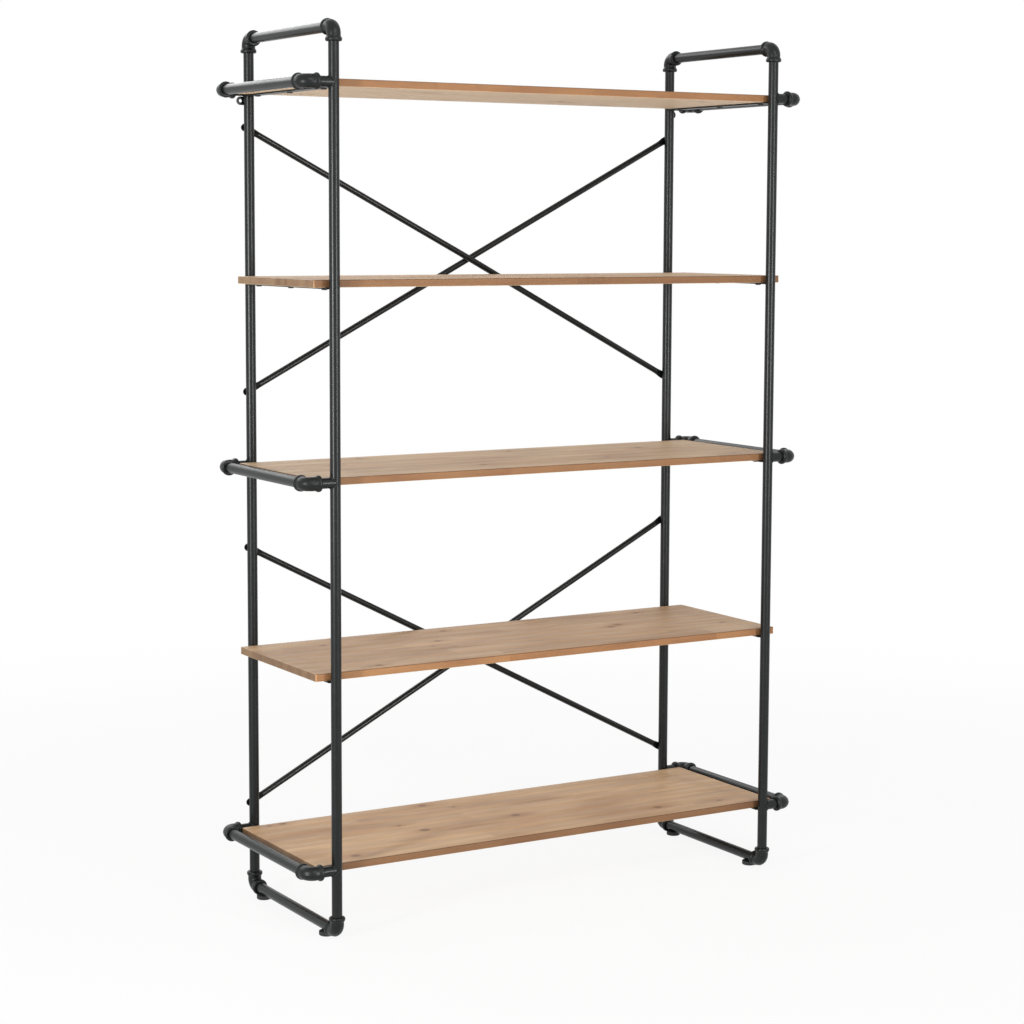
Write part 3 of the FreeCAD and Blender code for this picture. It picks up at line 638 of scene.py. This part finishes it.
# Levelling feet
def moulded_foot(node, settings):
    """Shells of one foot: a turned puck with grip hollows and a threaded stud.

    The puck's side radius loses the grip depth times a raised cosine of the angle, fading out at the
    rims. The stud's radius falls with a triangle wave of height over pitch less angle over a turn.
    """
    low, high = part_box(node)
    middle, wide = centre(node), (high.x - low.x) / 2
    base, rim, gap, ledge, sunk, point = (size * MM for size in (2.5, 0.8, 0.3, 0.5, 0.5, 0.6))
    top = centre("left_foot_rail")[2] - TUBE_RADIUS - gap
    path = straight_path((middle[0], middle[1], 0), (0, 0, 1), (1, 0, 0))
    angles = even_angles(settings.grip_count * 8)
    sine, cosine = quarter()
    side = np.linspace(base, top - rim, 7)[1:-1]
    height = np.concatenate(([0, 0, 0], base * (1 - cosine), side, top - rim * (1 - sine), [top, top]))
    out = np.concatenate((
        [0, 0.5 * wide, wide - base - ledge], wide - base * (1 - sine),
        np.full(len(side), wide), wide - rim * (1 - cosine), [0.45 * wide, 0]))
    fade = np.clip(np.minimum(height - 0.6 * base, top - height) / rim, 0, 1) * (out > 0.9 * wide)
    hollow = settings.grip_depth * (1 - np.cos(settings.grip_count * angles)) / 2
    puck = closed_lathe(carry(path, height[:, None], out[:, None] - fade[:, None] * hollow, angles))
    turns = even_angles(STUD_SIDES)
    levels = np.arange(top - sunk, high.z - point, settings.thread_pitch / 8)
    wave = np.abs(2 * ((levels[:, None] / settings.thread_pitch - turns / FULL_TURN) % 1) - 1)
    body = STUD_RADIUS - settings.thread_depth * wave
    levels = np.concatenate(([levels[0]], levels, [high.z, high.z]))
    ends = np.zeros((1, STUD_SIDES))
    body = np.concatenate((ends, body, ends + STUD_RADIUS - settings.thread_depth, ends))
    thread = closed_lathe(carry(path, levels[:, None], body, turns))
    return [puck, thread]


# Shader trees
def node_maths(operation, swapped=False):
    """A method that adds a Math node for an operation on a wire and other values."""
    def method(wire, *others):
        values = (*others, wire) if swapped else (wire, *others)
        return wire.tree.add("Math", {"operation": operation}, dict(enumerate(values)))
    return method


class Wire:
    """An output of a shader tree whose arithmetic adds Math nodes."""

    def __init__(self, tree, socket):
        self.tree, self.socket = tree, socket

    __add__ = __radd__ = node_maths("ADD")
    __sub__, __rsub__ = node_maths("SUBTRACT"), node_maths("SUBTRACT", swapped=True)
    __mul__ = __rmul__ = node_maths("MULTIPLY")
    __truediv__ = node_maths("DIVIDE")
    root, exp = node_maths("SQRT"), node_maths("EXPONENT")
    floor, fraction = node_maths("FLOOR"), node_maths("FRACT")
    absolute = node_maths("ABSOLUTE")
    least, most = node_maths("MINIMUM"), node_maths("MAXIMUM")

    def __neg__(self):
        return self * -1

    def rise(self, low, high):
        """Smooth step from 0 at low to 1 at high."""
        return self.tree.add("MapRange", {"interpolation_type": "SMOOTHSTEP"},
                             {"Value": self, "From Min": low, "From Max": high})


class Shader:
    """A node tree of one material or of the world."""

    def __init__(self, owner):
        owner.use_nodes = True
        self.owner, self.tree = owner, owner.node_tree
        self.tree.nodes.clear()

    def add(self, kind, settings=None, inputs=None, out=0):
        """Add a node of a type, its settings first and then its inputs, and give one output."""
        node = self.tree.nodes.new("ShaderNode" + kind)
        for name, value in (settings or {}).items():
            setattr(node, name, value)
        for name, value in (inputs or {}).items():
            if isinstance(value, Wire):
                self.tree.links.new(value.socket, node.inputs[name])
            else:
                node.inputs[name].default_value = value
        return Wire(self, node.outputs[out]) if len(node.outputs) else None

    def place(self):
        """Position on the piece in mm."""
        spot = self.add("TexCoord", out="Object")
        return self.add("VectorMath", {"operation": "SCALE"}, {0: spot, "Scale": 1 / MM})

    def split(self, vector):
        """The three parts of a vector or colour."""
        return [self.add("SeparateXYZ", inputs={0: vector}, out=index) for index in range(3)]

    def join(self, x, y, z):
        """A vector of three values."""
        return self.add("CombineXYZ", inputs={0: x, 1: y, 2: z})

    def stretch(self, vector, x, y, z):
        """A vector with each part scaled."""
        return self.add("VectorMath", {"operation": "MULTIPLY"}, {0: vector, 1: (x, y, z)})

    def noise(self, vector, size, detail=3, roughness=0.5):
        """Smooth noise whose features are about the given size."""
        return self.add("TexNoise", inputs={
            "Vector": vector, "Scale": 1 / size, "Detail": detail, "Roughness": roughness})

    def blend(self, share, first, second, kind="MIX"):
        """Mix two colours."""
        return self.add(
            "Mix", {"data_type": "RGBA", "blend_type": kind}, {0: share, 6: first, 7: second}, out=2)

    def bump(self, height, depth, strength=1.0):
        """Surface relief from a height between 0 and 1."""
        return self.add("Bump", inputs={"Strength": strength, "Distance": depth, "Height": height})

    def plainly_seen(self):
        """1 for what the camera sees, also in a mirror or through glass."""
        seen, glossy, through = (
            self.add("LightPath", out=f"Is {kind} Ray") for kind in ("Camera", "Glossy", "Transmission"))
        return seen.most(glossy).most(through)

    def surface(self, tone, roughness, sheen, relief, metallic=0.0):
        """Close the tree with a Principled shader."""
        self.add("OutputMaterial", inputs={"Surface": self.add("BsdfPrincipled", inputs={
            "Base Color": tone, "Roughness": roughness, "Specular IOR Level": sheen, "Normal": relief,
            "Metallic": metallic})})
        return self.owner


def new_shader(name):
    """Start a material."""
    return Shader(bpy.data.materials.new(name))


def colour(value):
    """A colour property with full alpha."""
    return (*value, 1.0)


# Finishes
def painted_steel(name, paint, roughness, depth, grain, sheen, pits):
    """Dark paint on steel: slow mottling, rubbed patches, orange peel or cast skin and fine dust.

    depth and grain are the depth and size of the skin, sheen the strength of the mirror and pits the
    share of the skin that is pits.
    """
    shade = new_shader(name)
    spot = shade.place()
    cloud = shade.noise(spot, 62, detail=4)
    rub = shade.noise(spot, 21, detail=5, roughness=0.62).rise(0.5, 0.78)
    skin = shade.noise(spot, grain, detail=4, roughness=0.55)
    speck = shade.noise(spot, 0.7, detail=2).rise(0.66, 0.8)
    tone = shade.blend(rub * 0.55 + speck * 0.2, colour(paint.colour), colour(paint.worn_colour))
    tone = shade.blend((cloud - 0.5) * 0.5 + 0.25, tone, colour([part * 0.72 for part in paint.colour]))
    height = skin
    if pits:
        pit = shade.add("TexVoronoi", inputs={"Vector": spot, "Scale": 1 / 2.6}, out="Distance")
        height = skin * (1 - pits) + pit.rise(0.05, 0.42) * pits
    rough = roughness + (cloud - 0.5) * 0.10 + rub * 0.05 + (skin - 0.5) * 0.05
    return shade.surface(tone, rough, sheen, shade.bump(height, depth))


def zinc_plate(name):
    """Bright zinc plating: pale grey metal with turning marks and dull blooms."""
    shade = new_shader(name)
    spot = shade.place()
    bloom = shade.noise(spot, 4, detail=4)
    marks = shade.noise(shade.stretch(spot, 0.4, 0.4, 6), 1.2, detail=2)
    tone = shade.blend(bloom, (0.52, 0.53, 0.55, 1), (0.66, 0.66, 0.64, 1))
    return shade.surface(
        tone, 0.28 + bloom * 0.2 + marks * 0.08, 0.5, shade.bump(marks, 0.02 * MM), metallic=1.0)


def black_oxide(name):
    """Blackened fasteners: near-black metal with a thin oily sheen and paler blooms."""
    shade = new_shader(name)
    spot = shade.place()
    bloom = shade.noise(spot, 3.2, detail=4)
    grain = shade.noise(spot, 0.5)
    tone = shade.blend(bloom.rise(0.45, 0.8), (0.011, 0.011, 0.012, 1), (0.032, 0.031, 0.030, 1))
    return shade.surface(tone, 0.42 + bloom * 0.18, 0.35, shade.bump(grain, 0.03 * MM))


def moulded_plastic(name, plastic):
    """Matte black plastic with a fine spark-eroded grain and scuffs."""
    shade = new_shader(name)
    spot = shade.place()
    scuff = shade.noise(shade.stretch(spot, 1, 1, 2.5), 3, detail=5, roughness=0.65).rise(0.55, 0.75)
    grain = shade.noise(spot, 0.35, detail=2)
    tone = shade.blend(scuff * 0.5, colour(plastic), colour([part * 2.4 for part in plastic]))
    return shade.surface(tone, 0.52 + grain * 0.12 - scuff * 0.08, 0.4, shade.bump(grain, 0.05 * MM))


def knot_field(x, y, z, knots):
    """Distance to the nearest knot in knot radii, how far grain moves aside and how dark it gets.

    Each knot leans a little through the board. Grain at distance y from its middle moves outward by a
    bell curve, so that the lines close round it.
    """
    nearest, aside, dusk = 9.0, 0.0, 0.0
    for index, (along, across, radius) in enumerate(knots):
        lean = 0.35 * math.sin(2.3 * index + along)
        dx = (x - z * lean - along) / (1.22 * radius)
        dy = (y - z * 0.2 * lean - across) / radius
        square = dx * dx + dy * dy
        bell = (-(dx * dx * 0.08 + dy * dy * 0.20)).exp()
        aside = dy * bell * (0.85 * radius) + aside
        dusk = (-(dx * dx * 0.075 + dy * dy * 0.36)).exp() + dusk
        nearest = square.root().least(nearest)
    return nearest, aside, dusk


def stain_and_shade_edges(shade, base, place, half, edge_colour_with_painted_shade):
    """Painted shade on the long edges, darker upper corners, stained end grain and a paler underside."""
    x, y, z = place
    half_long, half_deep, half_thick = half
    # Painted shade: the long edges darker, as they get less light than the tops
    edge = y.absolute().rise(half_deep - 1.6, half_deep - 0.4)
    base = shade.blend(edge, base, edge_colour_with_painted_shade, "MULTIPLY")
    # Darker along the upper corners of the long edges
    arris = z.rise(half_thick - 1.9, half_thick - 0.5) * y.absolute().rise(half_deep - 2.4, half_deep - 1.2)
    base = shade.blend(arris, base, ARRIS_DARKENING, "MULTIPLY")
    end_grain = x.absolute().rise(half_long - 1.2, half_long - 0.3)
    base = shade.blend(end_grain, base, END_STAIN, "MULTIPLY")
    underside = 1 - z.rise(0.3 - half_thick, 1.2 - half_thick)
    return shade.blend(underside * 0.65, base, BARE_UNDERSIDE)


def colour_knots(shade, base, reach, dusk, knot_wood):
    """Dark grain round the knots, and the knots and their rings at an uneven reach from their hearts."""
    base = shade.blend(dusk.least(1) * 0.55, base, KNOT_SHADE)
    ring = ((reach * 3.6).fraction() - 0.5).absolute() * 2
    heartwood = shade.blend(ring * 0.5, colour(knot_wood), KNOT_RING)
    return shade.blend((1 - reach.rise(0.50, 1.30)) * 0.84, base, heartwood)


def glue_joints(y, rows_across, staves_along):
    """1 along the glue lines between rows and the toothed joints between staves."""
    near_row = (rows_across.fraction() - 0.5).absolute()
    near_end = (staves_along.fraction() - 0.5).absolute()
    teeth = ((y / 4.2).fraction() - 0.5).absolute() * 0.030
    return near_row.rise(0.4955, 0.4985).most((near_end + teeth).rise(0.5125, 0.5140))


def stained_boards(name, node, settings, knots, seed):
    """Glued, stained softwood as a solid texture, so faces, edges and end grain agree, with painted light and
    shade on each board's faces and long edges.

    A row and a segment number give every stave its own tone and heart. Growth rings are circles
    round that heart, moved by slow noise and pushed aside round the knots.
    """
    shade = new_shader(name)
    half = [float(part) for part in half_size(node) / MM]
    half_deep = half[1]
    width = 2 * half_deep / round(2 * half_deep / (settings.stave_width / MM))
    x, y, height = shade.split(shade.place())
    z = height - float(centre(node)[2] / MM)

    # Staves, counted in rows across and segments along
    rows_across = (y + half_deep) / width
    row = rows_across.floor()
    stagger = shade.add(
        "TexWhiteNoise", {"noise_dimensions": "1D"}, {"W": row * 3.7 + seed * 11.3}, out="Value")
    staves_along = x / (settings.stave_length / MM) + stagger * 2.0
    segment = staves_along.floor()
    draw = shade.add("TexWhiteNoise", {"noise_dimensions": "3D"},
                     {"Vector": shade.join(row + 0.5, segment + 0.5, seed * 1.7 + 0.5)}, out="Color")
    tint, heart, turn = shade.split(draw)

    # Grain, in which fibre, streaks and clouds run along the board
    nearest, aside, dusk = knot_field(x, y, z, knots)
    grain_y = y - aside
    wander = shade.noise(shade.join(x * 0.16 + seed * 90, grain_y, z + segment * 37), 34)
    local = grain_y - (row + 0.5) * width + half_deep
    across = local + (heart - 0.5) * 70
    below = z + 16 + turn * 34
    circle = (across * across + below * below).root() + (wander - 0.5) * 30
    ring = (circle / (settings.ring_spacing / MM)).fraction()
    late = ring.rise(0.35, 0.92) * (1 - ring.rise(0.93, 1.0))
    fibre = shade.noise(shade.join(x * 0.035, grain_y, z), 1.1, roughness=0.6)
    streak = shade.noise(shade.join(x * 0.10 + segment * 51, grain_y + row * 29, z * 0.6), 22)
    cloud = shade.noise(shade.join(x * 0.4 + seed * 57, y, z), 95, detail=2)
    warm = shade.noise(shade.join(x * 0.07 + segment * 23, grain_y + row * 61, z * 0.6), 16).rise(0.52, 0.72)

    # Stain with painted light and shade on faces and long edges, knots and glue
    # Painted light and shade: each board's faces lighter or darker, the upper ones paler as a painted sheen,
    # and its long edges darker
    face_painted_light, painted_shade_of_edges = BOARD_PAINTED_LIGHT[node]
    pale = colour(np.multiply(settings.pale_wood, face_painted_light))
    deep = colour(np.multiply(settings.deep_wood, face_painted_light))
    tone = late * 0.16 + (fibre - 0.5) * 0.34 + (streak - 0.5) * 1.25 + (tint - 0.5) * 0.34
    tone = tone + (cloud - 0.5) * 1.2 + 0.33
    base = shade.blend(tone.most(0).least(1), pale, deep)
    base = shade.blend(warm * 0.45, base, WARM_STREAK)
    # Painted shade on the long edges, darker and more saturated than the faces
    edge_colour_with_painted_shade = colour(np.array(EDGE_PAINTED_SHADE) * painted_shade_of_edges / face_painted_light)
    base = stain_and_shade_edges(shade, base, (x, y, z), half, edge_colour_with_painted_shade)
    uneven_reach = nearest + (fibre - 0.5) * 0.5 + (warm - 0.3) * 0.15
    base = colour_knots(shade, base, uneven_reach, dusk, settings.knot_wood)
    glue = glue_joints(y, rows_across, staves_along)
    base = shade.blend(glue * 0.5, base, GLUE_LINE)
    relief = (1 - late) * 0.35 + fibre * 0.65 - glue * 0.4
    rough = 0.54 - late * 0.06 + (fibre - 0.5) * 0.16 + glue * 0.1
    return shade.surface(base, rough, 0.45, shade.bump(relief, 0.12 * MM, 0.7))


# Studio
def studio_floor(settings):
    """Plain pale floor that keeps its shadows and turns to the white of the background at its rim."""
    shade = new_shader("studio_floor")
    spot = shade.add("TexCoord", out="Object")
    x, y, _ = shade.split(spot)
    away = (x * x + y * y).root()
    grain = shade.noise(spot, 0.004)
    rim = away.rise(1.2, 3.4)
    share = shade.plainly_seen() * (rim * 0.1 + 0.9)
    plain = shade.add("BsdfPrincipled", inputs={
        "Base Color": colour(settings.floor_colour), "Roughness": 0.6 + (grain - 0.5) * 0.1,
        "Specular IOR Level": 0.0})
    white = shade.add("Emission", inputs={"Color": WHITE, "Strength": 1.0})
    mixed = shade.add("MixShader", inputs={0: share, 1: plain, 2: white})
    shade.add("OutputMaterial", inputs={"Surface": mixed})
    return shade.owner


def studio_world(settings):
    """Even light from all round, seen and reflected as plain white."""
    shade = Shader(bpy.data.worlds.new("studio"))
    light = shade.add("Background", inputs={"Color": WHITE, "Strength": settings.ambient})
    white = shade.add("Background", inputs={"Color": WHITE, "Strength": 1.0})
    mixed = shade.add("MixShader", inputs={0: shade.plainly_seen(), 1: light, 2: white})
    shade.add("OutputWorld", inputs={"Surface": mixed})
    return shade.owner


def floor_disc(radius):
    """A round sheet: radius times cosine and sine of the angle on every ring."""
    rings, sides = 9, 96
    angles = even_angles(sides)
    out = np.linspace(0, 1, rings)[:, None] * radius
    flat = grid_points(out * np.cos(angles), out * np.sin(angles), 0.0)
    return flat.reshape(-1, 3), grid_quads(rings, sides)


def area_light(name, place, target, size, power):
    """A large soft light aimed at a point."""
    data = bpy.data.lights.new(name, "AREA")
    data.shape = "RECTANGLE"
    data.size, data.size_y = size
    data.energy = power
    light = add_object(name, data)
    light.location = place
    light.rotation_euler = (Vector(target) - Vector(place)).to_track_quat("-Z", "Y").to_euler()
    light.visible_camera = False


# Operators, panel and registration
def settings_of(name):
    """One group of values kept on the scene."""
    return getattr(bpy.context.scene, "bookcase_" + name)


def material(name, make, *values):
    """A material by name, made on first use."""
    return bpy.data.materials.get(name) or make(name, *values)


def frame_paint(kind):
    """Paint on smooth tube, on duller flat bar or on the castings.

    Each finish is the roughness, the depth and size of the skin, the sheen and the share of pits.
    """
    paint = settings_of("paint")
    finish = {
        "tube": (paint.tube_roughness, paint.peel_depth, 2.8, 0.28, 0.0),
        "bar": (paint.casting_roughness, paint.peel_depth, 1.8, 0.12, 0.0),
        "casting": (paint.casting_roughness, paint.skin_depth, 1.1, 0.26, 0.3),
    }[kind]
    return material(kind + "_paint", painted_steel, paint, *finish)


class BOOKCASE_OT_tubes(Operator):
    """Paint the posts, rails and braces, whose solids are kept"""
    bl_idname = "bookcase.tubes"
    bl_label = "Paint tubes"

    def execute(self, context):
        posts = [corner + "_post" for corner in CORNERS]
        rails = [f"{side}_{height}_rail" for side in SIDES for height in ("foot", "top")]
        side_rails = [f"{side}_{level}_side_rail" for side in SIDES for level in LEVELS]
        braces = [f"{place}_{way}_brace" for place in ("lower", "upper") for way in ("falling", "rising")]
        finish_nodes(frame_paint("tube"), *posts, *rails, *side_rails, *braces)
        return {"FINISHED"}


class BOOKCASE_OT_elbows(Operator):
    """Cast the elbows with beads, mould seams and a rough skin"""
    bl_idname = "bookcase.elbows"
    bl_label = "Cast elbows"

    def execute(self, context):
        settings = settings_of("elbows")
        for index, (node, corner, first, second) in enumerate(elbow_places()):
            square_to_bend = 2 if "side" in node else 0
            bead = half_size(node)[square_to_bend] - INSIDE
            low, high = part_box(node)
            outlet = abs(corner[1]) - min(abs(low.y), abs(high.y))
            shell = cast_elbow(settings, corner, first, second, outlet, bead, 1.0 + 0.77 * index)
            make_piece(node + "_casting", [shell], frame_paint("casting"), "elbow_casting", "frame", node)
        return {"FINISHED"}


class BOOKCASE_OT_standoffs(Operator):
    """Make the stand-off tubes with their welds"""
    bl_idname = "bookcase.standoffs"
    bl_label = "Weld stand-offs"

    def execute(self, context):
        metalwork = settings_of("metalwork")
        for level in LEVELS:
            node = level + "_standoffs"
            low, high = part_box(node)
            shells = []
            for corner, (post, back) in POST_PLACE.items():
                length = high.x - abs(post)
                sign = -1 if "left" in corner else 1
                shells += coped_tube(post, back, (low.z + high.z) / 2, sign, length, metalwork)
            make_piece(node + "_welded", shells, frame_paint("tube"), "frame_tube", "frame", node)
        return {"FINISHED"}


class BOOKCASE_OT_shelves(Operator):
    """Make the glued boards of stained softwood"""
    bl_idname = "bookcase.shelves"
    bl_label = "Glue shelves"

    def execute(self, context):
        settings = settings_of("shelves")
        for seed, shelf in enumerate(SHELVES):
            node = shelf + "_shelf"
            wood = stained_boards(f"{shelf}_board_wood", node, settings, KNOTS[shelf], seed + 1)
            make_piece(node + "_board", [wood_board(node, settings)], wood, "stained_fir", "frame", node)
        return {"FINISHED"}


class BOOKCASE_OT_bars(Operator):
    """Make the support bars under the shelves with their welds"""
    bl_idname = "bookcase.bars"
    bl_label = "Weld support bars"

    def execute(self, context):
        metalwork = settings_of("metalwork")
        for shelf in SHELVES:
            node = shelf + "_shelf_bars"
            shells = [shell for side in SIDES for shell in flat_bar(side, node, metalwork)]
            make_piece(node + "_welded", shells, frame_paint("bar"), "flat_steel", "frame", node)
        return {"FINISHED"}


class BOOKCASE_OT_ears(Operator):
    """Make the two ring ears for wall screws"""
    bl_idname = "bookcase.ears"
    bl_label = "Weld wall ears"

    def execute(self, context):
        shells = [wall_ear(side, settings_of("metalwork")) for side in SIDES]
        make_piece("wall_ears_rounded", shells, frame_paint("tube"), "flat_steel", "frame", "wall_ears")
        return {"FINISHED"}


class BOOKCASE_OT_fasteners(Operator):
    """Finish the bolts, screws, inserts and sleeves, whose solids are kept"""
    bl_idname = "bookcase.fasteners"
    bl_label = "Finish fasteners"

    def execute(self, context):
        finish_nodes(material("black_oxide", black_oxide), "brace_bolts", "shelf_screws")
        finish_nodes(material("zinc_plate", zinc_plate), "brace_inserts", "foot_sleeves")
        return {"FINISHED"}


class BOOKCASE_OT_feet(Operator):
    """Mould the levelling feet on their threaded studs"""
    bl_idname = "bookcase.feet"
    bl_label = "Mould feet"

    def execute(self, context):
        settings = settings_of("feet")
        for corner in CORNERS:
            node = corner + "_foot"
            plastic = material("moulded_plastic", moulded_plastic, settings.colour)
            make_piece(node + "_moulded", moulded_foot(node, settings), plastic, "foot_plastic", node, node)
        return {"FINISHED"}


class BOOKCASE_OT_studio(Operator):
    """Set the floor, the lights and the camera"""
    bl_idname = "bookcase.studio"
    bl_label = "Set studio"

    def execute(self, context):
        settings, scene = settings_of("studio"), context.scene
        points, quads = floor_disc(settings.floor_radius)
        mesh = bpy.data.meshes.new("studio_floor")
        mesh.from_pydata(points.tolist(), [], quads.tolist())
        mesh.validate()
        mesh.materials.append(studio_floor(settings))
        floor = add_object("studio_floor", mesh)
        scene.world = studio_world(settings)
        for name, (place, aim, size) in LIGHTS.items():
            area_light(name, place, (0, 0, aim), size, getattr(settings, name.split("_")[0] + "_power"))
        scene.view_settings.view_transform = "Standard"
        scene.camera = make_camera(settings)
        return {"FINISHED"}


def make_camera(settings):
    """Camera at the photograph's viewing angle, from its heading, pitch, roll, target and distance."""
    heading, pitch, roll = np.radians((-30.907, 5.895, 0.213))
    target, distance = np.array([-0.00641, 0, 0.8939]), 4.9978
    ahead = np.array([
        -math.sin(heading) * math.cos(pitch), math.cos(heading) * math.cos(pitch), -math.sin(pitch)])
    level = np.array([math.cos(heading), math.sin(heading), 0])
    upright = np.cross(level, ahead)
    right = level * math.cos(roll) + upright * math.sin(roll)
    up = upright * math.cos(roll) - level * math.sin(roll)
    data = bpy.data.cameras.new("camera")
    data.sensor_width, data.lens = 36, settings.lens
    data.shift_x, data.shift_y = -0.0003, -0.0419
    data.clip_start, data.clip_end = 0.1, 60
    camera = add_object("camera", data)
    turn = Matrix(np.column_stack((right, up, -ahead)).tolist()).to_4x4()
    camera.matrix_world = Matrix.Translation(Vector(target - ahead * distance)) @ turn
    return camera


GROUPS = {
    "paint": PaintSettings,
    "elbows": ElbowSettings,
    "shelves": ShelfSettings,
    "metalwork": MetalworkSettings,
    "feet": FootSettings,
    "studio": StudioSettings,
}
OPERATORS = (
    BOOKCASE_OT_tubes,
    BOOKCASE_OT_elbows,
    BOOKCASE_OT_standoffs,
    BOOKCASE_OT_shelves,
    BOOKCASE_OT_bars,
    BOOKCASE_OT_ears,
    BOOKCASE_OT_fasteners,
    BOOKCASE_OT_feet,
    BOOKCASE_OT_studio,
)


class BOOKCASE_PT_pieces(Panel):
    """The bookcase's pieces and the values behind them"""
    bl_idname = "BOOKCASE_PT_pieces"
    bl_label = "Bookcase"
    bl_space_type = "VIEW_3D"
    bl_region_type = "UI"
    bl_category = "Bookcase"

    def draw(self, context):
        for operator in OPERATORS:
            self.layout.operator(operator.bl_idname)
        for name, group in GROUPS.items():
            box = self.layout.box()
            box.label(text=name.capitalize())
            values = getattr(context.scene, "bookcase_" + name)
            for value in group.__annotations__:
                box.prop(values, value)


def register():
    """Make the values, operators and panel known to Blender."""
    for made in (*GROUPS.values(), *OPERATORS, BOOKCASE_PT_pieces):
        bpy.utils.register_class(made)
    for name, group in GROUPS.items():
        setattr(bpy.types.Scene, "bookcase_" + name, PointerProperty(type=group))


def unregister():
    """Take them away again."""
    for name in GROUPS:
        delattr(bpy.types.Scene, "bookcase_" + name)
    for made in reversed((*GROUPS.values(), *OPERATORS, BOOKCASE_PT_pieces)):
        bpy.utils.unregister_class(made)


def main():
    register()
    for operator in OPERATORS:
        group, action = operator.bl_idname.split(".")
        getattr(getattr(bpy.ops, group), action)()


if __name__ == "__main__":
    main()
